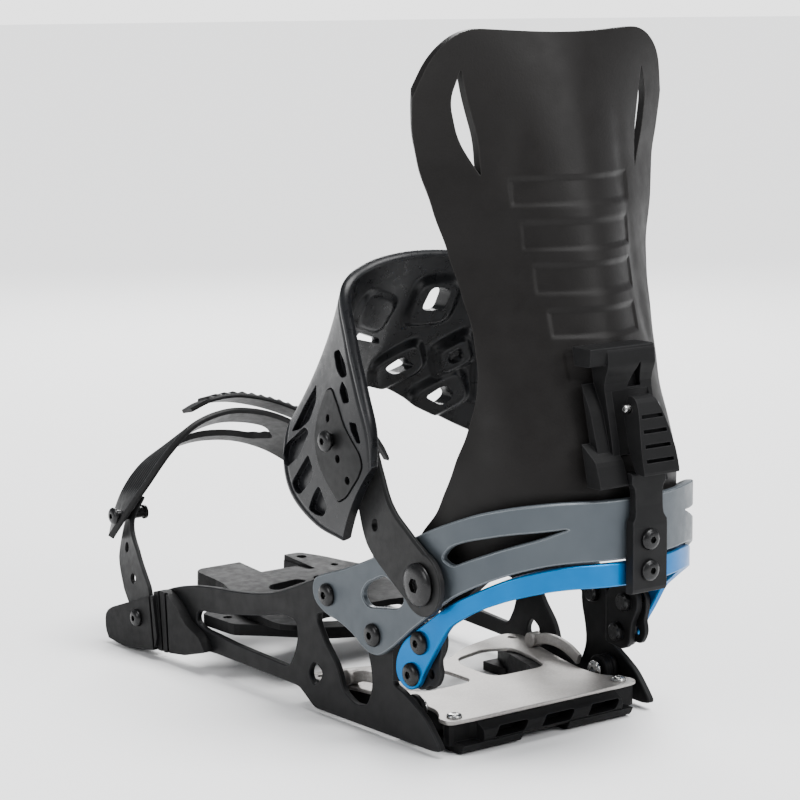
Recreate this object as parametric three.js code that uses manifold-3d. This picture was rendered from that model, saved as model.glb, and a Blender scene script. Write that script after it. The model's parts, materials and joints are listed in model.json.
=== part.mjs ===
// Splitboard binding: chassis, heel loops, highback with lean lever, ankle strap and toe strap.
// Millimetres. +X right side, +Y toe, +Z up. The ground is z = 0 and the symmetry plane is x = 0.
import * as THREE from 'three';
import { mergeVertices } from 'three/addons/utils/BufferGeometryUtils.js';
import Module from 'manifold-3d';

const wasm = await Module();
wasm.setup();

// ---------------------------------------------------------------- driving dimensions
const GAP = 0.3;                 // clearance between pieces that rest on each other
const PLATE_X = 54.5;            // side plate mid-plane at y = 0
const TOE_OUT = Math.atan(0.045); // the side plates open towards the toe
const PLATE_T = 3;               // side plate thickness
const LOOP_T = 3;                // heel loop thickness
const ADJUSTER_T = 2.2;          // four-hole adjuster plate thickness
const TAB_OFFSET = 4.4;          // how far the rear tab of the side plate steps inwards
const LOOP_CENTRE_Y = 5;         // centre of the half-round rear of both heel loops
const LOOP_REACH = 58;           // from that centre to the rearmost outer face
const HIGHBACK_T = 3.5;
const PIVOT = [3.5, 71];          // y, z of the highback and ankle strap pivot
const SCREW_R = 2.5;             // screw shank radius
const HEAD_R = 4.8;              // button head radius
const AXLE = [27, 13];           // y, z of the rear touring barrels
const TOE_SCREW = [210, 17];
const FRONT_SCREW = [69, 54];      // y, z of the front screw of the upper loop
const REAR_SCREW = [38.6, 43.2];
const TAB_SCREWS = [[11.5, 45.2], [16.5, 31.4]];
const HEEL_PLATE_TOP = 13;
const HEEL_PLATE_T = 1.6;

// ---------------------------------------------------------------- helpers
function solidOf(geometry) {
  const g = geometry.clone();
  g.deleteAttribute('normal');
  g.deleteAttribute('uv');
  const m = mergeVertices(g, 1e-4);
  return new wasm.Manifold(new wasm.Mesh({
    numProp: 3,
    vertProperties: new Float32Array(m.attributes.position.array),
    triVerts: new Uint32Array(m.index.array),
  }));
}

function geometryOf(solid) {
  const mesh = solid.getMesh();
  const g = new THREE.BufferGeometry();
  g.setAttribute('position', new THREE.BufferAttribute(new Float32Array(mesh.vertProperties), 3));
  g.setIndex(new THREE.BufferAttribute(new Uint32Array(mesh.triVerts), 1));
  return g;
}

function join(...parts) {
  let s = solidOf(parts[0]);
  for (const p of parts.slice(1)) s = s.add(solidOf(p));
  return geometryOf(s);
}

function cut(body, ...tools) {
  let s = solidOf(body);
  for (const t of tools) s = s.subtract(solidOf(t));
  return geometryOf(s);
}

function common(a, b) {
  return geometryOf(solidOf(a).intersect(solidOf(b)));
}

// Outline with rounded corners: each point is [a, b] or [a, b, radius].
function rounded(points, radius = 0) {
  const shape = new THREE.Shape();
  const n = points.length;
  for (let i = 0; i < n; i++) {
    const p = new THREE.Vector2(points[i][0], points[i][1]);
    const before = new THREE.Vector2(...points[(i + n - 1) % n].slice(0, 2)).sub(p);
    const after = new THREE.Vector2(...points[(i + 1) % n].slice(0, 2)).sub(p);
    const r = Math.min(points[i][2] ?? radius, before.length() * 0.49, after.length() * 0.49);
    const a = p.clone().addScaledVector(before.normalize(), r);
    const b = p.clone().addScaledVector(after.normalize(), r);
    if (i === 0) shape.moveTo(a.x, a.y);
    else shape.lineTo(a.x, a.y);
    if (r > 0) shape.quadraticCurveTo(p.x, p.y, b.x, b.y);
  }
  shape.closePath();
  return shape;
}

function circle(a, b, r, sides = 8) {
  const path = new THREE.Path();
  const corner = r / Math.cos(Math.PI / sides);
  for (let i = 0; i < sides; i++) {
    const t = 2 * Math.PI * (i + 0.5) / sides;
    const at = [a + corner * Math.cos(t), b + corner * Math.sin(t)];
    if (i) path.lineTo(...at);
    else path.moveTo(...at);
  }
  path.closePath();
  return path;
}

// Flat piece: shape drawn in the plane across the axis, filled between two positions on it.
// axis x: shape is (y, z); axis y: shape is (x, z); axis z: shape is (x, y).
function slab(axis, shape, holes, from, to, segments = 2) {
  const s = shape.clone();
  s.holes = holes;
  const g = new THREE.ExtrudeGeometry(s, { depth: to - from, bevelEnabled: false, curveSegments: segments });
  const m = new THREE.Matrix4();
  if (axis === 'x') m.set(0, 0, 1, from, 1, 0, 0, 0, 0, 1, 0, 0, 0, 0, 0, 1);
  else if (axis === 'y') m.set(1, 0, 0, 0, 0, 0, -1, to, 0, 1, 0, 0, 0, 0, 0, 1);
  else m.makeTranslation(0, 0, from);
  g.applyMatrix4(m);
  return g;
}

function box(x0, x1, y0, y1, z0, z1) {
  const g = new THREE.BoxGeometry(x1 - x0, y1 - y0, z1 - z0);
  g.translate((x0 + x1) / 2, (y0 + y1) / 2, (z0 + z1) / 2);
  return g;
}

// Round bar along x between two positions, centred at y, z.
function barX(r, x0, x1, y, z, sides = 16) {
  const g = new THREE.CylinderGeometry(r, r, x1 - x0, sides);
  g.rotateZ(-Math.PI / 2);
  g.translate((x0 + x1) / 2, y, z);
  return g;
}

// Screw lying along +x: button head with hex socket outside, shank, and a nut on the inside.
function screwX(outside, inside, y, z, headR = HEAD_R, shankR = SCREW_R, headT = 2.4, nutT = 3) {
  const profile = [
    [0, inside - nutT], [headR * 0.82, inside - nutT], [headR * 0.82, inside],
    [shankR, inside], [shankR, outside], [headR, outside],
    [headR * 0.7, outside + headT], [0, outside + headT],
  ].map(([r, x]) => new THREE.Vector2(r, x));
  const body = new THREE.LatheGeometry(profile, 9);
  body.rotateZ(-Math.PI / 2);
  const socket = barX(headR * 0.4, outside + headT * 0.25, outside + headT + 1, 0, 0, 6);
  const g = cut(body, socket);
  g.translate(0, y, z);
  return g;
}

function mirrorX(geometry) {
  const g = geometry.clone();
  const p = g.attributes.position;
  for (let i = 0; i < p.count; i++) p.setX(i, -p.getX(i));
  const index = g.index.array;
  for (let i = 0; i < index.length; i += 3) {
    const t = index[i];
    index[i] = index[i + 1];
    index[i + 1] = t;
  }
  return g;
}

// Puts a piece drawn against the side plate mid-plane (x = outwards from it) on one side.
function onSide(side, geometry) {
  let g = geometry.clone();
  g.deleteAttribute('normal');
  g.deleteAttribute('uv');
  g = mergeVertices(g, 1e-4);
  g.rotateZ(-TOE_OUT);
  g.translate(PLATE_X, 0, 0);
  return side > 0 ? g : mirrorX(g);
}

// Closed solid from a curved surface at(u, v) -> Vector3, thickness measured against its normal.
function sheet(at, nu, nv, thickness) {
  const outer = [];
  const inner = [];
  const e = 1e-3;
  for (let i = 0; i <= nu; i++) {
    for (let j = 0; j <= nv; j++) {
      const u = i / nu;
      const v = j / nv;
      const p = at(u, v);
      const du = at(Math.min(u + e, 1), v).sub(at(Math.max(u - e, 0), v));
      const dv = at(u, Math.min(v + e, 1)).sub(at(u, Math.max(v - e, 0)));
      const n = du.cross(dv).normalize();
      const t = typeof thickness === 'function' ? thickness(u, v) : [0, thickness];
      outer.push(p.clone().addScaledVector(n, t[0]));
      inner.push(p.clone().addScaledVector(n, -t[1]));
    }
  }
  const w = nv + 1;
  const count = (nu + 1) * w;
  const index = [];
  const quad = (a, b, c, d) => index.push(a, b, c, a, c, d);
  for (let i = 0; i < nu; i++) {
    for (let j = 0; j < nv; j++) {
      const a = i * w + j;
      quad(a, a + w, a + w + 1, a + 1);
      quad(count + a, count + a + 1, count + a + w + 1, count + a + w);
    }
  }
  for (let i = 0; i < nu; i++) {
    const a = i * w;
    quad(a + w, a, count + a, count + a + w);
    const b = i * w + nv;
    quad(b, b + w, count + b + w, count + b);
  }
  for (let j = 0; j < nv; j++) {
    quad(j, j + 1, count + j + 1, count + j);
    const b = nu * w + j;
    quad(b + 1, b, count + b, count + b + 1);
  }
  const g = new THREE.BufferGeometry();
  const all = [...outer, ...inner].flatMap((p) => [p.x, p.y, p.z]);
  g.setAttribute('position', new THREE.BufferAttribute(new Float32Array(all), 3));
  g.setIndex(index);
  return g;
}

// Strap surface: stations are [x, y, z, width, wx, wy, wz]; w is the direction across the strap.
function ribbon(stations) {
  const centre = new THREE.CatmullRomCurve3(stations.map((s) => new THREE.Vector3(s[0], s[1], s[2])));
  const across = new THREE.CatmullRomCurve3(stations.map((s) => new THREE.Vector3(s[4], s[5], s[6])));
  const n = stations.length - 1;
  return (u, v) => {
    const k = Math.min(Math.floor(u * n), n - 1);
    const f = u * n - k;
    const width = stations[k][3] * (1 - f) + stations[k + 1][3] * f;
    const w = across.getPoint(u).normalize();
    return centre.getPoint(u).addScaledVector(w, (v - 0.5) * width);
  };
}

// ---------------------------------------------------------------- chassis
function sidePlate(side) {
  const outline = rounded([
    [0, 3, 4], [6, 2, 2], [84, 2, 2], [95, 9, 3], [158, 10, 6], [190, 8, 4], [202, 12, 3], [202, 29, 2],
    [190, 34, 8], [172, 38, 6], [156, 40, 8], [141, 41, 6], [126, 43, 6], [112, 46, 6], [98, 51, 6],
    [84, 57, 4], [74, 60, 4], [63, 59, 3], [62, 50, 3], [70, 46, 3], [81, 43, 3], [81, 40, 4],
    [76, 32, 5], [67, 23, 5], [64, 14, 3], [56, 10, 3], [48, 11, 3], [44, 20, 5], [45, 28, 4],
    [48, 38, 5], [47, 49, 5], [39, 53, 5], [31, 50, 3], [30, 46, 1], [30, 24, 1], [24, 22, 1],
    [18, 19, 3], [11, 15, 3], [5, 9, 3],
  ]);
  const window = rounded([
    [170, 27, 3], [150, 29, 5], [122, 34, 6], [107, 38, 5], [96, 37, 4], [95, 31, 4], [97, 24, 4],
    [102, 16, 3], [141, 17.5, 3], [166, 19.5, 4], [172, 22, 3],
  ]);
  const drop = rounded([[84, 22.5, 3], [77.5, 18.5, 3], [80, 14.5, 2], [84, 11.5, 3], [88, 16, 3]]);
  const holes = [window, drop, circle(...REAR_SCREW, SCREW_R + GAP), circle(...FRONT_SCREW, SCREW_R + GAP)];
  const main = slab('x', outline, holes, -PLATE_T / 2, PLATE_T / 2);
  // the rear tab steps inwards so that the lower loop lies flush
  const tabOutline = rounded([
    [24.2, 25, 1], [24.2, 47, 1], [20, 51.5, 3], [12, 53.5, 4], [4.5, 50.5, 4], [3.5, 44, 4],
    [8, 36, 3], [8.5, 28, 3], [13, 24, 3],
  ]);
  const tab = slab('x', tabOutline, TAB_SCREWS.map(([y, z]) => circle(y, z, SCREW_R + GAP)),
    -PLATE_T / 2 - TAB_OFFSET, PLATE_T / 2 - TAB_OFFSET);
  const step = slab('z', rounded([
    [-PLATE_T / 2, 30.5], [PLATE_T / 2, 30.5], [PLATE_T / 2, 29.8], [PLATE_T / 2 - TAB_OFFSET, 24],
    [PLATE_T / 2 - TAB_OFFSET, 23.5], [-PLATE_T / 2 - TAB_OFFSET, 23.5], [-PLATE_T / 2 - TAB_OFFSET, 24.6],
  ]), [], 25.5, 45.5);
  return onSide(side, join(main, step, tab));
}

function adjusterPlate(side) {
  const a0 = -PLATE_T / 2 + PLATE_T - TAB_OFFSET + GAP;
  const outline = rounded([
    [20, 50, 4], [12, 53, 4], [8, 50, 3], [5.5, 52, 4], [1.9, 49, 3], [2, 42, 3], [3.5, 38.5, 3],
    [2, 33, 4], [5.5, 27.5, 4], [10, 28, 3], [13, 25, 3], [18, 24.5, 4], [22.5, 29, 4], [21, 38, 4],
    [22.5, 45, 4],
  ]);
  const open = [[5.4, 47.6], [8.6, 32.6]];
  const holes = [
    ...TAB_SCREWS.map(([y, z]) => circle(y, z, SCREW_R + GAP)),
    ...open.map(([y, z]) => circle(y, z, 2)),
  ];
  return onSide(side, slab('x', outline, holes, a0, a0 + ADJUSTER_T));
}

// U-shaped wall of a heel loop seen from above, open to the toe.
function loopWall(halfWidth, front, z0, z1) {
  const curve = [];
  const steps = 13;
  const wall = (grow, list) => {
    const a = halfWidth + grow;
    const b = LOOP_REACH - LOOP_T + grow;
    const slope = Math.tan(TOE_OUT);
    list.push([a + slope * (front - LOOP_CENTRE_Y), front]);
    for (let i = 0; i <= steps; i++) {
      const t = (i / steps) * Math.PI;
      list.push([a * Math.cos(t), LOOP_CENTRE_Y - b * Math.sin(t)]);
    }
    list.push([-a - slope * (front - LOOP_CENTRE_Y), front]);
  };
  const inner = [];
  wall(LOOP_T, curve);
  wall(0, inner);
  const points = [...curve, ...inner.reverse()];
  return slab('z', new THREE.Shape(points.map((p) => new THREE.Vector2(p[0], p[1]))), [], z0, z1);
}

const UPPER_LOOP_INNER = PLATE_T / 2 + GAP;       // outwards from the side plate mid-plane
const LOWER_LOOP_INNER = PLATE_T / 2 - TAB_OFFSET + GAP + ADJUSTER_T + GAP;

function upperLoop() {
  const side = rounded([
    [-56, 84], [-42, 83, 4], [-32, 79.5, 6], [-20, 73.5, 6], [-7, 66, 6], [4, 57.5, 6], [17, 48, 6],
    [27, 40, 6], [36, 34.5, 4], [45, 35.5, 5], [51, 40, 5], [61, 44, 6], [71, 45.5, 5], [79, 50, 6],
    [79.5, 59, 5], [71, 62.5, 5], [60, 66, 8], [40, 74, 10], [24, 82, 8], [7, 90, 8], [-3, 94.5, 6],
    [-20, 101.5, 8], [-33, 105, 6], [-42, 106.5, 3], [-56, 107],
  ]);
  const window = rounded([[31, 69, 3], [43, 63.5, 3], [46.5, 58, 3], [42, 54, 3], [22, 57, 3], [18, 62, 3]]);
  const slot = rounded([
    [-4, 82, 2], [-8, 87, 3], [-15, 90, 4], [-29, 93.8, 4], [-44, 96.4, 0.5], [-38, 92.5, 4],
    [-29, 88.8, 4], [-15, 82.5, 4], [-9, 79.6, 2],
  ]);
  const holes = [window, slot, circle(...FRONT_SCREW, SCREW_R + GAP), circle(...REAR_SCREW, SCREW_R + GAP),
    circle(PIVOT[0], PIVOT[1], 4 + GAP)];
  const half = PLATE_X + UPPER_LOOP_INNER + Math.tan(TOE_OUT) * LOOP_CENTRE_Y;
  return common(loopWall(half, 84, 20, 120), slab('x', side, holes, -80, 80));
}

function lowerLoop() {
  const side = rounded([
    [-56, 83.2], [-42, 81.8, 4], [-31, 77.8, 6], [-18, 70.8, 6], [-6, 64, 6], [7, 54.5, 6], [16, 48.5, 4],
    [23, 43, 5], [27, 35, 5], [26.5, 28, 5], [20, 24, 5], [13.5, 26, 4], [9, 34, 6], [2.5, 43, 6],
    [-3, 51, 6], [-6, 55, 5], [-18, 63, 6], [-31, 69.2, 6], [-42, 72.8, 4], [-56, 73.6],
  ]);
  const holes = TAB_SCREWS.map(([y, z]) => circle(y, z, SCREW_R + GAP));
  const half = PLATE_X + LOWER_LOOP_INNER + Math.tan(TOE_OUT) * LOOP_CENTRE_Y;
  return common(loopWall(half, 40, 10, 95), slab('x', side, holes, -80, 80));
}

// Clamp block that bridges both loops at the rear.
const LOOP_REAR = LOOP_CENTRE_Y - LOOP_REACH;
const CLAMP_BOLTS = [91, 79];

function heelClamp() {
  const y0 = LOOP_REAR - GAP;
  const strap = slab('x', rounded([
    [y0, 70], [y0, 117, 1], [y0 - 3.4, 117, 1], [y0 - 3.6, 104, 4], [y0 - 4.4, 96, 2], [y0 - 4.4, 70, 2],
  ]), [], -8, 9);
  const waist = [-1, 1].map((s) => slab('y', rounded([
    [0.5 + s * 9.5, 97, 2], [0.5 + s * 6.8, 100, 3], [0.5 + s * 6.8, 111, 3], [0.5 + s * 9.5, 114, 2],
  ]), [], -70, -50));
  const holes = CLAMP_BOLTS.map((z) => {
    const g = new THREE.CylinderGeometry(SCREW_R + GAP, SCREW_R + GAP, 30, 14);
    g.translate(0, -58, z);
    return g;
  });
  return cut(strap, ...waist, ...holes);
}

// Round tool along y.
function drillY(r, x, z, y0, y1, sides = 14) {
  const g = new THREE.CylinderGeometry(r, r, y1 - y0, sides);
  g.translate(x, (y0 + y1) / 2, z);
  return g;
}

function screwY(x, z, yOut, yIn) {
  const g = screwX(0, yOut - yIn, 0, 0, 4.2, SCREW_R, 2.2, 1.6);
  g.rotateZ(-Math.PI / 2);
  g.translate(x, yOut, z);
  return g;
}

function screwZ(x, y, zTop, zIn, headR = 3.2, headT = 1.6) {
  const profile = [
    [0, zIn], [1.6, zIn], [1.6, zTop], [headR, zTop], [headR * 0.7, zTop + headT], [0, zTop + headT],
  ].map(([r, z]) => new THREE.Vector2(r, z));
  const body = new THREE.LatheGeometry(profile, 9);
  body.rotateX(Math.PI / 2);
  const socket = new THREE.CylinderGeometry(headR * 0.42, headR * 0.42, headT, 6);
  socket.rotateX(Math.PI / 2);
  socket.translate(0, 0, zTop + headT * 1.0);
  const g = cut(body, socket);
  g.translate(x, y, 0);
  return g;
}

const HEEL_SCREW = [43, 9];

function heelPlate() {
  const right = [
    [0, 3], [40, 3, 5], [49.5, 4, 4], [49.5, 11, 3], [46, 15, 3], [42.5, 22, 8], [42.5, 34, 8],
    [46, 50, 10], [52, 74, 6], [57, 90, 3], [54, 97, 4], [45, 96, 6], [24, 90, 8], [8, 80, 5], [0, 80],
  ];
  const outline = [...right, ...right.slice(1, -1).reverse().map(([x, y, r]) => [-x, y, r])];
  const opening = (s) => rounded([
    [s * 5, 48, 4], [s * 5.5, 66, 5], [s * 10, 77, 5], [s * 30, 82.5, 6], [s * 40, 76, 5],
    [s * 37.5, 58, 6], [s * 33, 44.5, 6], [s * 9, 44.5, 4],
  ]);
  const holes = [1, -1].flatMap((s) => [opening(s), circle(s * HEEL_SCREW[0], HEEL_SCREW[1], 1.9),
    circle(s * 51, 90, 2)]);
  return slab('z', rounded(outline), holes, HEEL_PLATE_TOP - HEEL_PLATE_T, HEEL_PLATE_TOP);
}

function heelBase() {
  const z1 = HEEL_PLATE_TOP - HEEL_PLATE_T - 0.02;
  const right = [
    [0, 3.4], [36, 3.4, 1], [38, 5, 1], [48.5, 5, 3], [48.5, 10, 2], [40, 16, 4], [40, 36, 6], [44, 52, 6],
    [49.5, 74, 4], [53, 88, 3], [50, 94, 4], [44, 93, 4], [36, 74, 6], [31, 52, 5], [24, 40, 5], [0, 40],
  ];
  const outline = [...right, ...right.slice(1, -1).reverse().map(([x, y, r]) => [-x, y, r])];
  const body = slab('z', rounded(outline), [], 2.6, z1);
  const beamSide = rounded([[-2, 5, 1.5], [-1.5, 8.6, 1], [3.4, z1], [10, z1], [10, 3], [0, 3, 1.5]]);
  const beam = slab('x', beamSide, [], -36, 36);
  const feet = [[-46, -16], [8, 42]].map(([x0, x1]) => slab('x', rounded([
    [-1.6, 4], [0.5, 0, 2], [18, 0, 2], [22, 4],
  ]), [], x0, x1));
  const pads = [-1, 1].map((s) => box(s > 0 ? 36 : -50, s > 0 ? 50 : -36, 76, 92, 0, 4));
  const pockets = [-22, 2, 26].map((x) => slab('y', rounded([
    [x - 9, 4.8, 1], [x + 6, 4.8, 1], [x + 9, 9, 1], [x - 6, 9, 1],
  ]), [], -9, 6));
  const under = box(-26, 26, 14, 34, -1, 8);
  const drills = [-1, 1].map((s) => {
    const g = new THREE.CylinderGeometry(1.9, 1.9, 14, 12);
    g.rotateX(Math.PI / 2);
    g.translate(s * HEEL_SCREW[0], HEEL_SCREW[1], 10);
    return g;
  });
  const body2 = join(body, beam, ...feet, ...pads);
  return cut(body2, ...pockets, under, ...drills);
}

function barrel(side) {
  const x0 = -8.6;
  const collar = new THREE.LatheGeometry([
    [0, 0], [6, 0], [6, 2.4], [5.2, 3], [5.2, 4.2], [6, 4.8], [6, 6.8], [0, 6.8],
  ].map(([r, x]) => new THREE.Vector2(r, x)), 12);
  collar.rotateZ(-Math.PI / 2);
  collar.translate(x0, AXLE[0], AXLE[1]);
  return onSide(side, collar);
}

function barrelPin(side) {
  const pin = screwX(0.6, 0.1, 0, 0, 4, 2, 1.6, 0.4);
  pin.rotateZ(Math.PI);
  pin.translate(-9.2, AXLE[0], AXLE[1]);
  return onSide(side, pin);
}

// Curved steel bail beside the heel plate.
function latchLink(side) {
  const path = new THREE.CatmullRomCurve3([
    [48.5, 71, 16], [48.2, 63, 18.5], [47.6, 54, 19], [46.8, 45, 17.6], [46, 38, 15],
  ].map((p) => new THREE.Vector3(...p)));
  const section = rounded([[-2.4, -1.1, 0.6], [2.4, -1.1, 0.6], [2.4, 1.1, 0.6], [-2.4, 1.1, 0.6]]);
  const bar = new THREE.ExtrudeGeometry(section, {
    steps: 10, extrudePath: path, bevelEnabled: false, curveSegments: 1,
  });
  const eye = barX(3.2, 46, 51.5, 72, 16.2, 12);
  const g = join(bar, eye);
  return side > 0 ? g : mirrorX(g);
}

function toeRamp() {
  const outline = [
    [12, 203, 2], [12, 217, 1], [21, 217, 2], [27, 207, 4], [34, 188, 8], [46, 168, 8], [50, 150, 6],
    [50, 126, 6], [40, 118, 6], [24, 132, 10], [-24, 132, 10], [-40, 118, 6], [-50, 126, 6],
    [-50, 150, 6], [-46, 168, 8], [-37, 190, 8], [-38, 214, 2], [-34, 217, 1.5], [-12, 217, 1], [-12, 203, 2],
  ];
  const slots = [1, -1].map((s) => slab('z', rounded([
    [s * 25, 172, 2.5], [s * 21, 178, 2.5], [s * 4, 180, 2.5], [s * 2, 175, 2], [s * 21, 169, 2.5],
  ]), [], -5, 15));
  const bores = [[18, 210, 2.4], [24, 191, 1.9]].map(([x, y, r]) => {
    const g = new THREE.CylinderGeometry(r, r, 30, 12);
    g.rotateX(Math.PI / 2);
    g.translate(x, y, 0);
    return g;
  });
  const deck = cut(slab('z', rounded(outline), [], 0, 6.5), ...slots, ...bores);
  deck.translate(0, -217, 0);
  deck.rotateX(0.06);
  deck.translate(0, 217, 26.5);
  const step = box(-12.5, 12.5, 190, 230, 30.4, 40);
  const seat = box(-70, 70, 100, 178, 10, 24.9);   // rests on the brace
  return cut(deck, step, seat);
}

function toeArm(side) {
  const arm = slab('z', rounded([
    [54, 176, 4], [60.2, 172, 2], [59.1, 148, 3], [50, 140, 6], [30, 118, 6], [8, 108, 4], [0, 108], [0, 120],
    [8, 120, 5], [26, 128, 6], [42, 148, 6], [47, 166, 6],
  ]), [circle(54.5, 160, 2)], 19.4, 24.6);
  return side > 0 ? arm : mirrorX(geometryOf(solidOf(arm)));
}

function toeBrace() {
  const both = join(toeArm(1), toeArm(-1));
  const lighten = [1, -1].map((s) => slab('z', rounded([
    [s * 48, 148, 3], [s * 50, 152, 3], [s * 45, 158, 3], [s * 43, 150, 3],
  ]), [], 15, 30));
  return cut(both, ...lighten);
}

// Rubber-and-nylon toe strap mount on the front end of a side plate.
function toeMount(side) {
  const wall = rounded([
    [238, 7, 2], [238, 14, 3], [233, 17.5, 3], [197, 30, 1.5], [194, 11, 1], [196, 5, 2], [221, 1, 3],
    [236, 2.5, 3],
  ]);
  const outer = slab('x', wall, [circle(...TOE_SCREW, SCREW_R + GAP)], 5.2, 8.4);
  const inner = slab('x', rounded([[226, 5, 2], [226, 17, 3], [203, 26, 2], [202.6, 5, 2]]),
    [circle(...TOE_SCREW, SCREW_R + GAP)], -1.5, 1.6);
  const floorSide = rounded([[236, 2.5, 1], [236, 5.5, 1], [203, 7, 1], [202.6, 4.5, 1], [221, 1, 3]]);
  const floor = slab('x', floorSide, [], -1.5, 8.4);
  const sill = slab('x', rounded([[206, 7.2], [206, 3], [196, 4.5], [196, 9]]), [], 1.8, 8.4);
  const gusset = slab('x', rounded([
    [199, 4.5, 1], [190, 4.5, 1], [174, 6.5, 2], [158, 11, 1], [163, 17, 3], [174, 21, 3], [181, 28, 3],
    [191, 33, 3], [199, 31, 1],
  ]), [], 1.8, 6.6);
  const grooves = [186.5, 191, 195.5].map((y, i) => slab('x', rounded([
    [y, 2], [y + 1.6, 2], [y + 3.4 + i, 36], [y + 1.8 + i, 36],
  ]), [], 5.2, 12));
  return onSide(side, cut(join(outer, inner, floor, sill, gusset), ...grooves));
}

// ---------------------------------------------------------------- highback
const HIGHBACK_ROWS = [ // z, half width, y of the side edges
  [58, 54.6, 24], [76, 54.6, 23], [87, 54.2, 15.5], [99, 53.2, 4.5], [117, 51, -2.5], [130, 48, -7],
  [142, 45.4, -9],
  [152, 45, -10], [169, 45.2, -7], [184, 47.2, -2], [198, 50, 2], [215, 55, 5], [232, 59, 9],
  [244, 61.5, 9], [254, 62.2, 8], [284, 62.5, 3],
];

function lookUp(rows, z, column) {
  const n = rows.length - 1;
  let i = 0;
  while (i < n - 1 && rows[i + 1][0] < z) i++;
  const f = Math.min(Math.max((z - rows[i][0]) / (rows[i + 1][0] - rows[i][0]), 0), 1);
  const s = f * f * (3 - 2 * f) * 0.5 + f * 0.5;
  return rows[i][column] * (1 - s) + rows[i + 1][column] * s;
}

function spineY(z) {
  return z < 110 ? -47.4 : -47.4 + (z - 110) * 0.2285;
}

function highbackPoint(u, z) {
  const w = lookUp(HIGHBACK_ROWS, z, 1);
  const edge = lookUp(HIGHBACK_ROWS, z, 2);
  const bend = 1.5 - 1.1 * THREE.MathUtils.smoothstep(z, 105, 262);
  const a = (2 * u - 1) * bend;
  const x = w * Math.sin(a) / Math.sin(bend);
  const round = (1 - Math.cos(a)) / (1 - Math.cos(bend));
  const k = 0.3;                                   // nose radius of the V-like upper section
  const vee = (Math.hypot(x / w, k) - k) / (Math.hypot(1, k) - k);
  const f = THREE.MathUtils.smoothstep(z, 112, 190);
  const y = spineY(z) + (edge - spineY(z)) * THREE.MathUtils.lerp(round, vee, f);
  return new THREE.Vector3(x, y, z);
}

function highback() {
  const z0 = 56;
  const z1 = 284.5;
  const shell = sheet((u, v) => highbackPoint(u, z0 + (z1 - z0) * v), 12, 12, () => [0, HIGHBACK_T]);
  const side = rounded([
    [-70, 91], [-42, 89, 4], [-33, 85.5, 6], [-20, 79, 6], [-10, 69, 6], [-3, 61.5, 5], [5, 58.8, 6],
    [13, 61.5, 6], [17.5, 70, 6], [18, 80, 3], [22, 86], [40, 200], [40, 300], [-70, 300],
  ]);
  const front = rounded([
    [-70, 50], [70, 50], [70, 230, 2], [62, 258, 14], [56, 274, 14], [44, 283, 10], [0, 280.5, 20],
    [-44, 283, 10], [-56, 274, 14], [-62, 258, 14], [-70, 230, 2],
  ]);
  const kept = common(common(shell, slab('x', side, [], -80, 80)), slab('y', front, [], -80, 60));
  const slots = [1, -1].map((s) => slab('y', rounded([
    [s * 45, 268, 1.5], [s * 49, 256, 5], [s * 46, 241, 5], [s * 38.5, 227, 1.5], [s * 39, 241, 6],
    [s * 42.5, 255, 6],
  ]), [], -60, 40));
  const bore = barX(4 + GAP, -80, 80, ...PIVOT, 12);
  const seat = barX(7.8, -50.2, 50.2, ...PIVOT, 12);   // flat seats for the bolt nuts
  return cut(kept, ...slots, bore, seat);
}

// Forward-lean block on the spine of the highback.
function leanBlock() {
  const y = (z, out) => spineY(z) - GAP - out;
  const column = slab('x', rounded([
    [y(163, 0), 163], [y(112, 0), 112], [y(112, 4.5), 112, 1], [y(128, 6), 128, 3], [y(150, 6), 150, 3],
    [y(156, 10), 156.5, 1], [y(163, 11), 163, 1],
  ]), [], -12, 11.5);
  const flange = slab('x', rounded([
    [y(164, 0), 164], [y(157, 0), 157], [y(157, 9), 157, 1], [y(164, 11), 164, 1],
  ]), [], -20, 11.5);
  const foot = slab('x', rounded([
    [y(128, 0), 128], [y(112, 0), 112], [y(112, 8), 112, 1], [y(122, 7), 122, 2],
  ]), [], -22, 11.5);
  const web = slab('x', rounded([
    [y(150, 0), 150], [y(112, 0), 112], [y(112, 5), 112, 1], [y(140, 3), 140, 2],
  ]), [], -18, 11.5);
  const recess = slab('y', rounded([[-1, 148, 0.6], [6, 148, 0.6], [4, 158, 0.6]]), [], -70, y(155, 5));
  const seat = box(-8.6, 9.6, -80, y(140, 4.2), 105, 147);
  return cut(join(column, flange, foot, web), recess, seat);
}

// Ribbed walk-mode lever hinged near its top on the lean block.
const LEVER_PIN = [-51.6, 141]; // y, z

function leanLever() {
  const body = slab('x', rounded([
    [-54.6, 145, 2], [-50, 146, 1.5], [-49.4, 138, 2], [-56.5, 122, 2], [-58.8, 117.5, 1],
    [-64.2, 116.6, 1.5], [-61.5, 128, 6], [-57.6, 140, 4],
  ]), [], -8.3, 9.3);
  const taper = [
    [[-20, 150], [-4, 150], [-4.6, 146, 1], [-8.5, 126, 8], [-8.5, 100], [-20, 100]],
    [[22, 150], [4, 150], [4.6, 146, 1], [9.5, 126, 8], [9.5, 100], [22, 100]],
  ].map((outline) => slab('y', rounded(outline), [], -80, -30));
  const grooves = [0, 1, 2, 3].map((i) => {
    const z = 121.5 + i * 5.4;
    const depth = -60.2 + i * 1.3;
    const outline = rounded([[-80, z], [-80, z + 1.4], [depth, z + 1.4], [depth, z]]);
    return slab('x', outline, [], -6.3 + i * 0.5, 7.3 - i * 0.5);
  });
  const bore = barX(1.5 + GAP, -30, 30, LEVER_PIN[0], LEVER_PIN[1], 12);
  return cut(body, ...taper, ...grooves, bore);
}

function leverPin() {
  return barX(1.5, -8, 9, LEVER_PIN[0], LEVER_PIN[1], 12);
}

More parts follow.
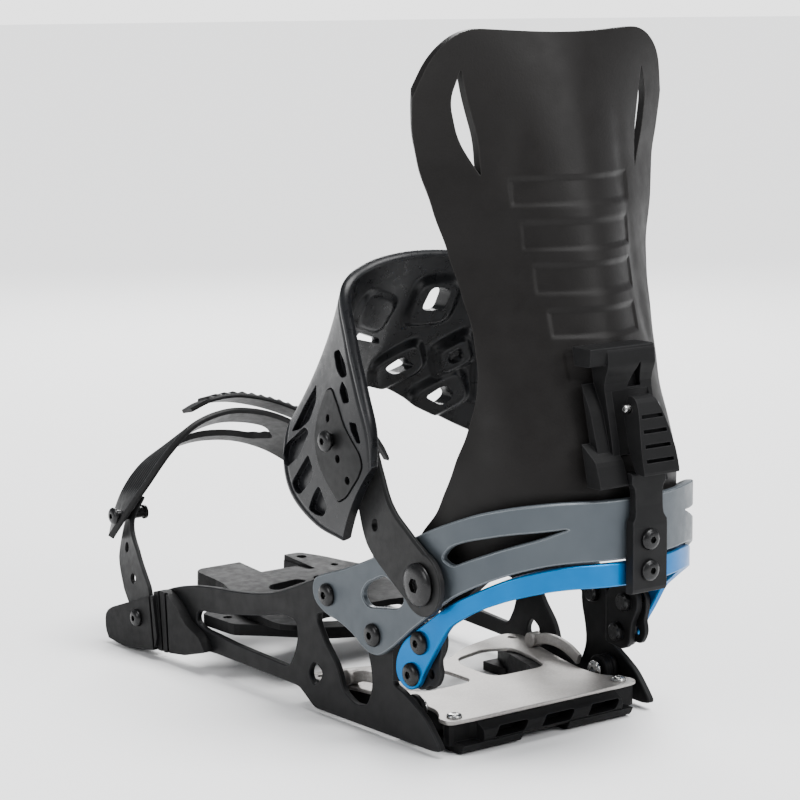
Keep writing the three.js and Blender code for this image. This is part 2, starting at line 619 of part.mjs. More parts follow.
// ---------------------------------------------------------------- ankle strap
// Edge curves of the ankle pad from its left end over the instep to its right end.
const PAD_FRONT = [
  [-60.5, 54, 80], [-61.5, 73, 83.5], [-61.5, 91, 93.5], [-58, 100.5, 106], [-51.5, 104, 118], [-37, 95, 127],
  [-18, 97, 132],
  [5, 97, 121], [28, 94, 109], [50, 85, 99], [61, 72, 92], [62.5, 58, 93], [62, 46, 99],
];
const PAD_REAR = [
  [-61.5, 33, 113], [-62, 32, 127], [-62.5, 37, 143], [-61.5, 46, 163], [-58.5, 54, 181], [-45, 59, 188],
  [-25, 60, 191],
  [0, 59, 190], [25, 57, 186], [45, 51, 174], [57, 42, 158], [62, 33, 141], [62, 26, 127],
];
const PAD_T = 4.5;

// Curve through points given from left to right, run from right to left.
function leftwards(points) {
  return new THREE.CatmullRomCurve3(points.slice().reverse().map((p) => new THREE.Vector3(...p)));
}

function strapShell(front, rear, bulge, focusY, pinch = 0) {
  const a = leftwards(front);
  const b = leftwards(rear);
  return (u, v) => {
    const p = a.getPoint(u).lerp(b.getPoint(u), v);
    const out = new THREE.Vector3(p.x, p.y - focusY, 0).normalize();
    const waist = pinch * Math.exp(-(((u - 0.7) / 0.13) ** 2));   // hollow at the left front corner
    return p.addScaledVector(out, (bulge - waist) * 4 * v * (1 - v));
  };
}

const padSurface = strapShell(PAD_FRONT, PAD_REAR, 1.5, 30, 4.5);
const padLayer = (from, to, nu = 22, nv = 3) => sheet(padSurface, nu, nv, () => [to, -from]);

const PAD_SCREW = [57.5, 120.3];
const PLATE_HOLES = [[52.2, 113.6], [45.6, 105.8], [61.4, 128.6]];

// Recesses in the outer face of the pad's left half, as (y, z).
const PAD_POCKETS = [
  [[78, 140, 1.5], [88, 130, 3], [97, 117.5, 2], [88, 120, 2], [79.5, 125, 2], [76, 133, 2]],
  [[101, 111.5, 2], [83.5, 122, 3], [78.5, 120.5, 2], [84, 110, 3], [95, 103, 3], [100.5, 106, 2]],
  [
    [89, 98, 2], [80.4, 107.7, 3], [76.5, 111.8, 2], [71.5, 106.4, 2], [72, 102, 2], [82, 94, 3],
    [86.5, 95, 2],
  ],
  [[76, 89, 2], [71.2, 96.5, 3], [67.1, 100.5, 2], [61.2, 92.5, 2], [64.6, 88, 2], [69.7, 87.5, 2]],
  [[53.9, 140.8, 1.5], [51.7, 145.2, 1.5], [46.7, 141.8, 1.5], [44.9, 137.2, 1.5], [50, 136, 1.5]],
  [[45, 129.5, 1], [40, 129.5, 1], [37.2, 121.8, 1], [39.9, 121.6, 1], [43.5, 125.7, 1]],
  [[62, 155, 2], [56, 157, 1.5], [49.5, 152.7, 2], [47.2, 147.5, 1.5], [52.5, 145.8, 2], [58.4, 149, 2]],
];
// Openings over the instep, as (x, z).
const PAD_WINDOWS = [
  [[-11, 166.5, 3], [0, 165.5, 3], [0, 175.5, 3], [-10, 176.8, 3]],
  [[-18, 140.8, 2], [-12, 137, 3], [-4, 141, 2], [-11, 146, 3]],
  [[5, 126, 2], [14, 121, 3], [18, 126, 3], [12.5, 131.5, 3]],
  [[-42, 157, 1], [-24, 152.5, 1], [-25, 154.8, 1], [-40, 159.5, 1]],
];
const LENS_CENTRE = [55, 118];

// Outline of the cover plate as (y, z), scaled about its centre.
function lensOutline(scale) {
  return rounded([
    [60.5, 140.5, 2], [66, 139, 3], [71, 130, 4], [72.5, 121, 4], [68, 110.5, 6], [61, 103, 6], [53, 96, 2],
    [47, 99, 3], [39, 108, 2], [36.5, 113, 2], [38, 117.5, 2], [48, 127, 3], [54, 134.5, 3],
  ].map(([y, z, r]) => [
    LENS_CENTRE[0] + (y - LENS_CENTRE[0]) * scale, LENS_CENTRE[1] + (z - LENS_CENTRE[1]) * scale, r,
  ]));
}

function anklePad() {
  const windows = PAD_WINDOWS.map((w) => slab('y', rounded(w), [], 40, 130));
  let pad = cut(padLayer(0, PAD_T), ...windows);
  const above = padLayer(1.6, 30);
  for (const p of PAD_POCKETS) {
    pad = cut(pad, common(slab('x', rounded(p), [], -100, -40), above));
  }
  const seat = common(slab('x', lensOutline(1.03), [], -100, -40), padLayer(PAD_T - 1.4, 30));
  return cut(pad, seat, barX(SCREW_R + GAP, -90, -50, ...PAD_SCREW, 12));
}

function ankleConnector() {
  const at = ribbon([
    [-60.6, 3, 70.5, 25, 0, 0.58, -0.81], [-61, 18, 80, 25, 0, 0.6, -0.8],
    [-61.1, 30, 89, 25, 0, 0.67, -0.74],
    [-57.4, 42, 102, 22, 0, 0.75, -0.66], [-55.2, 51, 117, 19, 0, 0.83, -0.55],
    [-54.8, 58, 131, 15, 0, 0.85, -0.5],
  ]);
  const strap = sheet(at, 12, 1, () => [2.8, 0]);
  const end = barX(12.8, -63.4, -60.6, ...PIVOT, 18);
  const bore = barX(4 + GAP, -70, -50, ...PIVOT, 12);
  const hole = barX(SCREW_R + GAP, -80, -50, PAD_SCREW[0], PAD_SCREW[1], 14);
  const spare = barX(2.6, -80, -50, 33, 89.5, 12);
  return cut(join(strap, end), bore, hole, spare);
}

function ankleLadder() {
  const at = ribbon([
    [60.6, 3, 70.5, 25, 0, -0.58, 0.81], [61.4, 19, 80, 24, 0, -0.6, 0.8], [67, 33, 91, 20, 0, -0.6, 0.8],
    [72.2, 46, 104, 18, 0, -0.68, 0.73], [74.4, 57, 118, 18, 0, -0.75, 0.66],
    [74.2, 66, 132, 18, 0, -0.8, 0.6],
    [71.5, 73, 146, 15, 0, -0.8, 0.6],
  ]);
  const teeth = 16;
  const strap = sheet(at, teeth * 2 + 10, 1, (u) => {
    const k = (u - 0.45) / 0.5 * teeth;
    const tooth = u > 0.45 && u < 0.95 ? 1.4 * (k - Math.floor(k + 1e-6)) : 0;
    return [2.4 + tooth, 0];
  });
  const end = barX(12.8, 60.6, 63.4, ...PIVOT, 18);
  const bore = barX(4 + GAP, 50, 70, ...PIVOT, 12);
  return cut(join(strap, end), bore);
}

function pivotBolt(side) {
  const g = screwX(63.8, 50, ...PIVOT, 8.6, 4, 2.8, 2.6);
  return side > 0 ? g : mirrorX(g);
}

// Lens-shaped cover plate let into the left half of the pad.
function anklePlate() {
  const lens = slab('x', lensOutline(1), [], -100, -40);
  const holes = PLATE_HOLES.map(([y, z]) => barX(1.7, -90, -50, y, z, 12));
  const bore = barX(SCREW_R + GAP, -90, -50, PAD_SCREW[0], PAD_SCREW[1], 14);
  return cut(common(lens, padLayer(PAD_T - 1.2, PAD_T + 0.5)), ...holes, bore);
}

function padScrew() {
  return mirrorX(screwX(69.6, 54, PAD_SCREW[0], PAD_SCREW[1], 4.4, SCREW_R, 2.2, 1.6));
}

// Ratchet buckle in its own frame: x across the strap, y along it, z away from the foot.
function ratchetFrame(width, length, clear, height) {
  const w = width / 2 + GAP;
  const cheek = (s) => slab('x', rounded([
    [-length / 2, 0, 1], [length / 2, 0, 1], [length / 2, height * 0.6, 2], [length * 0.3, height, 3],
    [-length * 0.15, height, 4], [-length / 2, height * 0.55, 3],
  ]), [], s > 0 ? w : -w - 2.2, s > 0 ? w + 2.2 : -w);
  const roof = box(-w - 1, w + 1, -length * 0.42, -length * 0.12, clear, clear + 1.8);
  const base = box(-w - 1, w + 1, -length * 0.3, length * 0.3, -2.8, -1.1);
  const legs = [-w - 2.2, w].map((x) => box(x, x + 2.2, -length * 0.3, length * 0.3, -2.8, 1));
  const bore = barX(1.2 + GAP, -40, 40, length * 0.27, height - 3, 12);
  return cut(join(cheek(1), cheek(-1), roof, base, ...legs), bore);
}

function ratchetLever(width, length, height) {
  const w = width / 2;
  const z = height - 3;
  const blade = slab('x', rounded([
    [length * 0.27 + 3.4, z - 1.5, 2], [length * 0.27 + 3, z + 3.4, 3], [-length * 0.2, z + 6, 10],
    [-length * 0.75, z + 2.2, 2], [-length * 0.78, z + 0.6, 1], [-length * 0.2, z + 3.4, 10],
    [length * 0.2, z + 0.6, 3], [length * 0.2, z - 3, 2],
  ]), [], -w, w);
  const finger = box(-w + 4, w - 4, -length, -length * 0.55, z - 4, z + 12);
  const bore = barX(1.2 + GAP, -40, 40, length * 0.27, z, 12);
  return cut(blade, finger, bore);
}

function ratchetPin(width, length, height) {
  const w = width / 2 + GAP + 2.2 + 0.5;
  return barX(1.2, -w, w, length * 0.27, height - 3, 12);
}

// Moves a piece from the buckle frame onto a strap.
function onStrap(geometry, origin, along, out) {
  const y = new THREE.Vector3(...along).normalize();
  const z = new THREE.Vector3(...out);
  z.addScaledVector(y, -z.dot(y)).normalize();
  const x = y.clone().cross(z);
  const m = new THREE.Matrix4().makeBasis(x, y, z).setPosition(...origin);
  const g = geometry.clone();
  g.deleteAttribute('normal');
  g.deleteAttribute('uv');
  const merged = mergeVertices(g, 1e-4);
  merged.applyMatrix4(m);
  return merged;
}

const ANKLE_BUCKLE = {
  origin: [72.6, 55, 116], along: [0.1, 0.6, 0.79], out: [1, 0, -0.12], width: 19, length: 30,
};
const TOE_BUCKLE = {
  origin: [47.5, 213, 79], along: [-0.7, 0, 0.71], out: [0.71, 0, 0.7], width: 15.6, length: 22,
};

// ---------------------------------------------------------------- toe strap
const CAP_FRONT = [
  [-62, 247, 47], [-61, 243, 60], [-58, 240, 70], [-51, 238, 79], [-40, 238, 85], [-26, 239, 88],
  [-12, 239, 88], [2, 239, 85.5], [16, 237, 80], [27, 231, 72], [35, 226, 64],
];
const CAP_REAR = [
  [-70, 234, 49], [-68, 222, 62], [-63, 212, 76], [-54, 205, 92], [-42, 203.5, 102.5], [-26, 203, 107],
  [-10, 203, 105.5], [6, 203.5, 100], [20, 206, 91.5], [31, 208, 80], [38, 210, 69],
];
const CAP_T = 3;
const CAP_WINDOW = [[-42, 214.5, 4], [2, 214.5, 4], [12, 223, 3], [4, 232, 4], [-44, 232.5, 4]];
const CAP_EYE = [[17, 221, 1], [22, 217, 1], [27, 220, 1], [22, 225, 1]];
const capSurface = strapShell(CAP_FRONT, CAP_REAR, 0, 225);
const CAP_SCREW = [229, 61];

function toeCap() {
  const shell = sheet(capSurface, 20, 2, () => [CAP_T, 0]);
  const opening = slab('z', rounded(CAP_WINDOW), [], 60, 140);
  const eye = slab('z', rounded(CAP_EYE), [], 60, 140);
  return cut(shell, opening, eye, barX(SCREW_R + GAP, -90, -50, ...CAP_SCREW, 14));
}

function toeConnector() {
  const at = ribbon([
    [-66.3, 211, 17, 18, -0.044, 0.98, -0.2], [-66.6, 216.5, 29, 24, -0.02, 0.98, -0.2],
    [-65.2, 225.5, 43, 23, 0.1, 0.95, -0.3], [-61.8, 230.5, 57, 15, 0.3, 0.92, -0.25],
    [-57.2, 229.5, 67, 13, 0.2, 0.93, -0.3],
  ]);
  const strap = sheet(at, 12, 1, () => [2.4, 0]);
  const holes = [[227, 46], [219, 33]].map(([y, z]) => barX(2.4, -80, -50, y, z, 12));
  const end = onSide(-1, barX(8, 2.3, 4.8, ...TOE_SCREW));
  const bore = onSide(-1, barX(SCREW_R + GAP, -5, 15, ...TOE_SCREW, 12));
  const hole = barX(SCREW_R + GAP, -90, -50, ...CAP_SCREW, 12);
  return cut(join(strap, end), ...holes, bore, hole);
}

function capScrew() {
  return mirrorX(screwX(71.8, 56.8, CAP_SCREW[0], CAP_SCREW[1], 4, SCREW_R, 2, 1.6));
}

function toeLadder() {
  const at = ribbon([
    [66.3, 210, 17, 16, -0.044, -0.98, 0.2], [66.7, 214, 29, 17, -0.04, -0.98, 0.2],
    [64.5, 215.5, 44, 16, 0.1, -0.97, 0.15], [61.2, 214.5, 58, 15, 0.1, -0.98, 0.1],
    [54.8, 213, 70.5, 14, 0.05, -0.99, 0.05], [47.5, 213, 79, 14, 0, -1, 0], [40, 213, 86, 14, 0, -1, 0],
    [26, 212.5, 96, 14, 0.1, -0.98, 0.15], [12, 212, 103, 14, 0.05, -0.96, 0.25],
    [-3, 212.5, 108.5, 14, 0, -0.95, 0.3], [-18, 214, 111.5, 15, 0, -0.95, 0.28],
    [-30, 216, 110.5, 14, 0, -0.95, 0.25], [-38, 218, 107, 9, 0, -0.95, 0.2],
  ]);
  const teeth = 16;
  const strap = sheet(at, 22 + teeth * 2, 1, (u) => {
    const k = (u - 0.5) / 0.42 * teeth;
    const tooth = u > 0.5 && u < 0.92 ? 1.3 * (k - Math.floor(k + 1e-6)) : 0;
    return [2 + tooth, 0];
  });
  const end = onSide(1, barX(8, 2.3, 4.8, ...TOE_SCREW));
  const bore = onSide(1, barX(SCREW_R + GAP, -5, 15, ...TOE_SCREW, 12));
  return cut(join(strap, end), bore);
}

// ---------------------------------------------------------------- assembly
const ORIGIN = [6.15, 92.38, 0];   // frame origin in drawing coordinates: centre of the box, at its foot

const group = new THREE.Group();
group.name = 'splitboard_binding';

const FINISH = {
  anodised: [0x28292b, 0.5, 0.6],
  slate: [0x69737c, 0.42, 0.55],
  cyan: [0x0090d2, 0.32, 0.25],
  steel: [0xb9b5b1, 0.45, 0.9],
  nylon: [0x1d1d1f, 0.62, 0.0],
  highback: [0x211f1f, 0.5, 0.0],
  rubber: [0x2a2b2c, 0.55, 0.0],
  clear: [0x3a3c42, 0.22, 0.0],
  screw: [0x1a1a1b, 0.38, 0.7],
  bright: [0xc8c8c6, 0.3, 0.95],
};

function add(name, geometry, finish) {
  const [color, roughness, metalness] = FINISH[finish];
  const material = new THREE.MeshStandardMaterial({ color, roughness, metalness });
  const g = geometryOf(solidOf(geometry));
  g.translate(-ORIGIN[0], -ORIGIN[1], -ORIGIN[2]);
  g.computeVertexNormals();
  const mesh = new THREE.Mesh(g, material);
  mesh.name = name;
  group.add(mesh);
}

for (const [word, side] of [['left', -1], ['right', 1]]) {
  add(`side_plate_${word}`, sidePlate(side), 'anodised');
  add(`adjuster_plate_${word}`, adjusterPlate(side), 'anodised');
  add(`toe_mount_${word}`, toeMount(side), 'nylon');
  add(`axle_barrel_${word}`, barrel(side), 'nylon');
  add(`axle_pin_${word}`, barrelPin(side), 'bright');
  add(`latch_link_${word}`, latchLink(side), 'steel');
  for (const [place, at] of [['front', FRONT_SCREW], ['rear', REAR_SCREW]]) {
    const screw = screwX(UPPER_LOOP_INNER + LOOP_T, -PLATE_T / 2, ...at);
    add(`loop_screw_${place}_${word}`, onSide(side, screw), 'screw');
  }
  const blueOut = LOWER_LOOP_INNER + LOOP_T;
  const blueIn = -PLATE_T / 2 - TAB_OFFSET;
  add(`lower_loop_screw_top_${word}`, onSide(side, screwX(blueOut, blueIn, ...TAB_SCREWS[0])), 'screw');
  add(`lower_loop_screw_bottom_${word}`, onSide(side, screwX(blueOut, blueIn, ...TAB_SCREWS[1])), 'screw');
  add(`heel_plate_screw_${word}`, screwZ(side * HEEL_SCREW[0], HEEL_SCREW[1], HEEL_PLATE_TOP, 4), 'bright');
  add(`pivot_bolt_${word}`, pivotBolt(side), 'screw');
  add(`toe_mount_screw_${word}`, onSide(side, screwX(8.4, -1.5, TOE_SCREW[0], TOE_SCREW[1], 4)), 'screw');
}

const loopDrills = CLAMP_BOLTS.map((z) => drillY(SCREW_R + GAP, 0, z, -70, -40));
add('upper_heel_loop', cut(upperLoop(), loopDrills[0]), 'slate');
add('lower_heel_loop', cut(lowerLoop(), loopDrills[1]), 'cyan');
add('heel_clamp', heelClamp(), 'anodised');
CLAMP_BOLTS.forEach((z, i) => {
  const bolt = screwY(0, z, LOOP_REAR - GAP - 4.4, LOOP_REAR + LOOP_T + 0.5);
  add(i === 0 ? 'clamp_bolt_upper' : 'clamp_bolt_lower', bolt, 'screw');
});
add('heel_plate', heelPlate(), 'steel');
add('heel_base', heelBase(), 'nylon');
add('toe_ramp', toeRamp(), 'nylon');
add('toe_brace', toeBrace(), 'nylon');
add('highback', highback(), 'highback');
add('lean_block', leanBlock(), 'nylon');
add('lean_lever', leanLever(), 'nylon');
add('lean_lever_pin', leverPin(), 'bright');
add('ankle_pad', anklePad(), 'clear');
add('ankle_strap_left', ankleConnector(), 'rubber');
add('ankle_plate', anklePlate(), 'rubber');
add('ankle_plate_screw', padScrew(), 'screw');
add('ankle_ladder', ankleLadder(), 'rubber');
add('toe_cap', toeCap(), 'rubber');
add('toe_strap_left', toeConnector(), 'rubber');
add('toe_cap_screw', capScrew(), 'screw');
add('toe_ladder', toeLadder(), 'rubber');
for (const [word, b] of [['ankle', ANKLE_BUCKLE], ['toe', TOE_BUCKLE]]) {
  const put = (g) => onStrap(g, b.origin, b.along, b.out);
  add(`${word}_ratchet_frame`, put(ratchetFrame(b.width, b.length, 6, 12)), 'anodised');
  add(`${word}_ratchet_lever`, put(ratchetLever(b.width, b.length, 12)), 'anodised');
  add(`${word}_ratchet_pin`, put(ratchetPin(b.width, b.length, 12)), 'bright');
}

export default group;
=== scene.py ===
"""Looks of the splitboard binding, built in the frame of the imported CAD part."""

import json
import math

import bmesh
import bpy
import numpy as np
from mathutils import Matrix, Vector
from mathutils.geometry import tessellate_polygon


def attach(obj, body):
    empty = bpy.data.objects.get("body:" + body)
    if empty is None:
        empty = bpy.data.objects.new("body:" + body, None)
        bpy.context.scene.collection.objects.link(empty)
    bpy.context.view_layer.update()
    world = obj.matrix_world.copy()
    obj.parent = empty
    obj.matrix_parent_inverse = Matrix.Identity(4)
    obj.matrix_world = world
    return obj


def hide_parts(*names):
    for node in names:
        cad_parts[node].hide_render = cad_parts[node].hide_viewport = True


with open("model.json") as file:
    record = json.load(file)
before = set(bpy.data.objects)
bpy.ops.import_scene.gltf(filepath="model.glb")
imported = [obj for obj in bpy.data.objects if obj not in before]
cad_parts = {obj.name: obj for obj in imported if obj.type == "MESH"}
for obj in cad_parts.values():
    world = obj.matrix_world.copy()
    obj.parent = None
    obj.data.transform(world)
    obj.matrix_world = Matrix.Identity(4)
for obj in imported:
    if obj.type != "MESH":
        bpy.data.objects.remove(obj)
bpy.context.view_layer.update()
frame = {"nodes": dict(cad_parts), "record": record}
nodes = frame["nodes"]

# Sizes and places in the drawing's millimetres: x to the buckle side, y to the toe, z up.
MM = 0.001
ORIGIN = np.array([6.15, 92.38, 0.0])   # the frame's origin
GAP = 0.3
PLATE_X, TOE_OUT, PLATE_T = 54.5, math.atan(0.045), 3.0
LOOP_T, LOOP_Y, LOOP_REACH = 3.0, 5.0, 58.0
TAB_OFFSET, ADJUSTER_T = 4.4, 2.2
UPPER_IN = PLATE_T / 2 + GAP
LOWER_IN = PLATE_T / 2 - TAB_OFFSET + GAP + ADJUSTER_T + GAP
PIVOT, TOE_SCREW = (3.5, 71.0), (210.0, 17.0)
FRONT_SCREW, REAR_SCREW = (69.0, 54.0), (38.6, 43.2)
TAB_SCREWS = [(11.5, 45.2), (16.5, 31.4)]
HEEL_SCREW, CLAMP_BOLTS = (43.0, 9.0), (91.0, 79.0)
LOOP_REAR = LOOP_Y - LOOP_REACH
HOLE, PIVOT_HOLE = 2.8, 4.3
HIGHBACK_T = 3.4
HEEL_PLATE_T, HEEL_PLATE_Z = 1.6, 11.4

# The camera, in degrees and in the drawing's millimetres, and its focal length in picture widths.
AZIMUTH, ELEVATION, ROLL = -35.80, 9.37, -0.51
CAMERA_PLACE = (-594.58, -721.05, 291.47)
FOCAL, SENSOR = 2391.11 / 800, 36

# The studio: strengths of the surroundings and the broad light, and half the floor's side in metres.
WORLD_SEEN, WORLD_LIGHT, SKY_POWER = 2.6, 0.36, 6.4
FLOOR_HALF = 40


def show(o):
    bpy.context.collection.objects.link(o)


# ---------------- camera, floor, light
def camera():
    azimuth, elevation, roll = (math.radians(a) for a in (AZIMUTH, ELEVATION, ROLL))
    back = Vector((math.sin(azimuth) * math.cos(elevation), -math.cos(azimuth) * math.cos(elevation),
                   math.sin(elevation)))
    right = Vector((math.cos(azimuth), math.sin(azimuth), 0))
    up = back.cross(right)
    rolled_right = right * math.cos(roll) + up * math.sin(roll)
    rolled_up = up * math.cos(roll) - right * math.sin(roll)
    data = bpy.data.cameras.new("camera")
    data.sensor_width = SENSOR
    data.lens = SENSOR * FOCAL
    data.clip_end = 50
    cam = bpy.data.objects.new("camera", data)
    m = Matrix((rolled_right, rolled_up, back)).transposed().to_4x4()
    m.translation = Vector((np.array(CAMERA_PLACE) - ORIGIN) * MM)
    cam.matrix_world = m
    show(cam)
    bpy.context.scene.camera = cam


def area(name, place, aim, size, power):
    data = bpy.data.lights.new(name, "AREA")
    data.shape = "DISK"
    data.size = size
    data.energy = power
    light = bpy.data.objects.new(name, data)
    light.location = place
    light.rotation_euler = (Vector(aim) - Vector(place)).to_track_quat("-Z", "Y").to_euler()
    show(light)


def studio():
    """White surroundings for the eye, dim ones for reflections, so that black parts stay black."""
    world = bpy.data.worlds.new("studio")
    bpy.context.scene.world = world
    world.use_nodes = True
    tree = world.node_tree
    seen, lit = tree.nodes["Background"], tree.nodes.new("ShaderNodeBackground")
    seen.inputs[0].default_value = (1, 1, 1, 1)
    seen.inputs[1].default_value = WORLD_SEEN
    lit.inputs[0].default_value = (0.92, 0.95, 1.0, 1)
    lit.inputs[1].default_value = WORLD_LIGHT
    path, mix = tree.nodes.new("ShaderNodeLightPath"), tree.nodes.new("ShaderNodeMixShader")
    tree.links.new(path.outputs["Is Camera Ray"], mix.inputs[0])
    tree.links.new(lit.outputs[0], mix.inputs[1])
    tree.links.new(seen.outputs[0], mix.inputs[2])
    tree.links.new(mix.outputs[0], tree.nodes["World Output"].inputs["Surface"])
    sun = bpy.data.lights.new("sky", "SUN")
    sun.energy = SKY_POWER
    sun.angle = math.radians(40)
    lamp = bpy.data.objects.new("sky", sun)
    lamp.rotation_euler = (math.radians(14), math.radians(10), 0)
    show(lamp)
    area("key", (0.35, -1.1, 0.75), (0, 0, 0.16), 0.5, 9)
    area("side", (-1.3, -0.1, 0.7), (0, 0.05, 0.1), 0.6, 9)
    area("rim", (0.7, 1.1, 0.8), (0, 0, 0.12), 0.6, 12)
    mesh = bpy.data.meshes.new("floor")
    h = FLOOR_HALF
    mesh.from_pydata([(-h, -h, 0), (h, -h, 0), (h, h, 0), (-h, h, 0)], [], [(0, 1, 2, 3)])
    floor = bpy.data.objects.new("floor", mesh)
    floor.location = (0, 0, -0.0004)
    show(floor)
    m = bpy.data.materials.new("floor")
    m.use_nodes = True
    b = m.node_tree.nodes["Principled BSDF"]
    b.inputs["Base Color"].default_value = (0.88, 0.88, 0.88, 1)
    b.inputs["Roughness"].default_value = 0.9
    b.inputs["Specular IOR Level"].default_value = 0.0
    mesh.materials.append(m)


# ---------------- materials
FLAT_DOT, EDGE_DOT = 0.985, 0.9   # how far a rounded normal agrees with the face, on flats and on edges


class Nodes:
    """Small helper around one material's node tree."""

    def __init__(self, name):
        self.material = bpy.data.materials.new(name)
        self.material.use_nodes = True
        self.tree = self.material.node_tree
        self.bsdf = self.tree.nodes["Principled BSDF"]
        self.coords = self.add("ShaderNodeTexCoord").outputs["Object"]

    def add(self, kind, **values):
        node = self.tree.nodes.new(kind)
        for key, value in values.items():
            setattr(node, key, value)
        return node

    def link(self, a, b):
        self.tree.links.new(a, b)

    def noise(self, scale, detail=3.0, roughness=0.55, stretch=None):
        node = self.add("ShaderNodeTexNoise")
        node.inputs["Scale"].default_value = scale
        node.inputs["Detail"].default_value = detail
        node.inputs["Roughness"].default_value = roughness
        source = self.coords
        if stretch:
            mapping = self.add("ShaderNodeMapping")
            mapping.inputs["Scale"].default_value = stretch
            self.link(source, mapping.inputs["Vector"])
            source = mapping.outputs["Vector"]
        self.link(source, node.inputs["Vector"])
        return node.outputs["Fac"]

    def ramp(self, value, stops):
        node = self.add("ShaderNodeValToRGB")
        while len(node.color_ramp.elements) < len(stops):
            node.color_ramp.elements.new(0.5)
        for element, (position, color) in zip(node.color_ramp.elements, stops):
            element.position = position
            element.color = (*color, 1)
        self.link(value, node.inputs["Fac"])
        return node.outputs["Color"]

    def remap(self, value, low, high, from_low=0.3, from_high=0.7):
        node = self.add("ShaderNodeMapRange")
        node.inputs["From Min"].default_value = from_low
        node.inputs["From Max"].default_value = from_high
        node.inputs["To Min"].default_value = low
        node.inputs["To Max"].default_value = high
        self.link(value, node.inputs["Value"])
        return node.outputs["Result"]

    def mix(self, factor, a, b):
        node = self.add("ShaderNodeMix", data_type="RGBA")
        self.link(factor, node.inputs["Factor"])
        for key, value in (("A", a), ("B", b)):
            target = next(s for s in node.inputs if s.name == key and s.type == "RGBA")
            if isinstance(value, tuple):
                target.default_value = (*value, 1)
            else:
                self.link(value, target)
        return next(s for s in node.outputs if s.type == "RGBA")

    def edge(self, radius):
        """1 on convex and concave edges, 0 on flat areas, from a rounded normal; this masks the painted
        edge highlight.
        """
        bevel = self.add("ShaderNodeBevel", samples=4)
        bevel.inputs["Radius"].default_value = radius
        geometry = self.add("ShaderNodeNewGeometry")
        dot = self.add("ShaderNodeVectorMath", operation="DOT_PRODUCT")
        self.link(bevel.outputs["Normal"], dot.inputs[0])
        self.link(geometry.outputs["Normal"], dot.inputs[1])
        return self.remap(dot.outputs["Value"], 1.0, 0.0, EDGE_DOT, FLAT_DOT)

    def surface(self, bumps, round_edges=0.0004):
        """Joins height fields [(fac, height in metres)] on top of a rounded-edge normal."""
        bevel = self.add("ShaderNodeBevel", samples=4)
        bevel.inputs["Radius"].default_value = round_edges
        normal = bevel.outputs["Normal"]
        for fac, distance in bumps:
            bump = self.add("ShaderNodeBump")
            bump.inputs["Distance"].default_value = distance
            bump.inputs["Strength"].default_value = 1.0
            self.link(fac, bump.inputs["Height"])
            self.link(normal, bump.inputs["Normal"])
            normal = bump.outputs["Normal"]
        self.link(normal, self.bsdf.inputs["Normal"])

    def set(self, **values):
        for key, value in values.items():
            socket = self.bsdf.inputs[key.replace("_", " ")]
            if hasattr(value, "node"):
                self.link(value, socket)
            elif isinstance(value, tuple):
                socket.default_value = (*value, 1)
            else:
                socket.default_value = value


def finish(name, low, high, tone_scale, rough, rough_scale, bumps, edge_highlight_tint, radius=0.0004, **extra):
    """Tone and roughness that vary over the surface, a painted highlight in a lighter colour on rounded
    edges (on anodised metal also standing for bright machined edges) and a fine grain.
    """
    n = Nodes(name)
    tone = n.ramp(n.noise(tone_scale, 4), [(0.3, low), (0.7, high)])
    # Rounded convex and concave edges get a lighter colour mixed in: a painted edge highlight.
    lit = n.mix(n.edge(radius * 1.3), tone, edge_highlight_tint)
    n.set(Base_Color=lit, Roughness=n.remap(n.noise(rough_scale, 4), *rough), **extra)
    n.surface([(n.noise(scale, 3), height) for scale, height in bumps], radius)
    return n.material


def metal_tumbled():
    n = Nodes("tumbled_steel")
    fine = n.noise(900, 6, 0.7)
    across = n.noise(500, 3, 0.6, (1, 0.06, 1))
    along = n.noise(420, 3, 0.6, (0.08, 1, 1))
    tone = n.ramp(n.noise(26, 6, 0.65), [(0.28, (0.25, 0.235, 0.225)), (0.55, (0.34, 0.325, 0.31)),
                                       (0.75, (0.44, 0.425, 0.41))])
    speck = n.mix(n.remap(fine, 0.0, 1.0, 0.45, 0.75), tone, (0.5, 0.485, 0.47))
    n.set(Base_Color=speck, Roughness=n.remap(fine, 0.36, 0.58), Metallic=0.8)
    n.surface([(fine, 0.000035), (across, 0.00001), (along, 0.00001)])
    return n.material
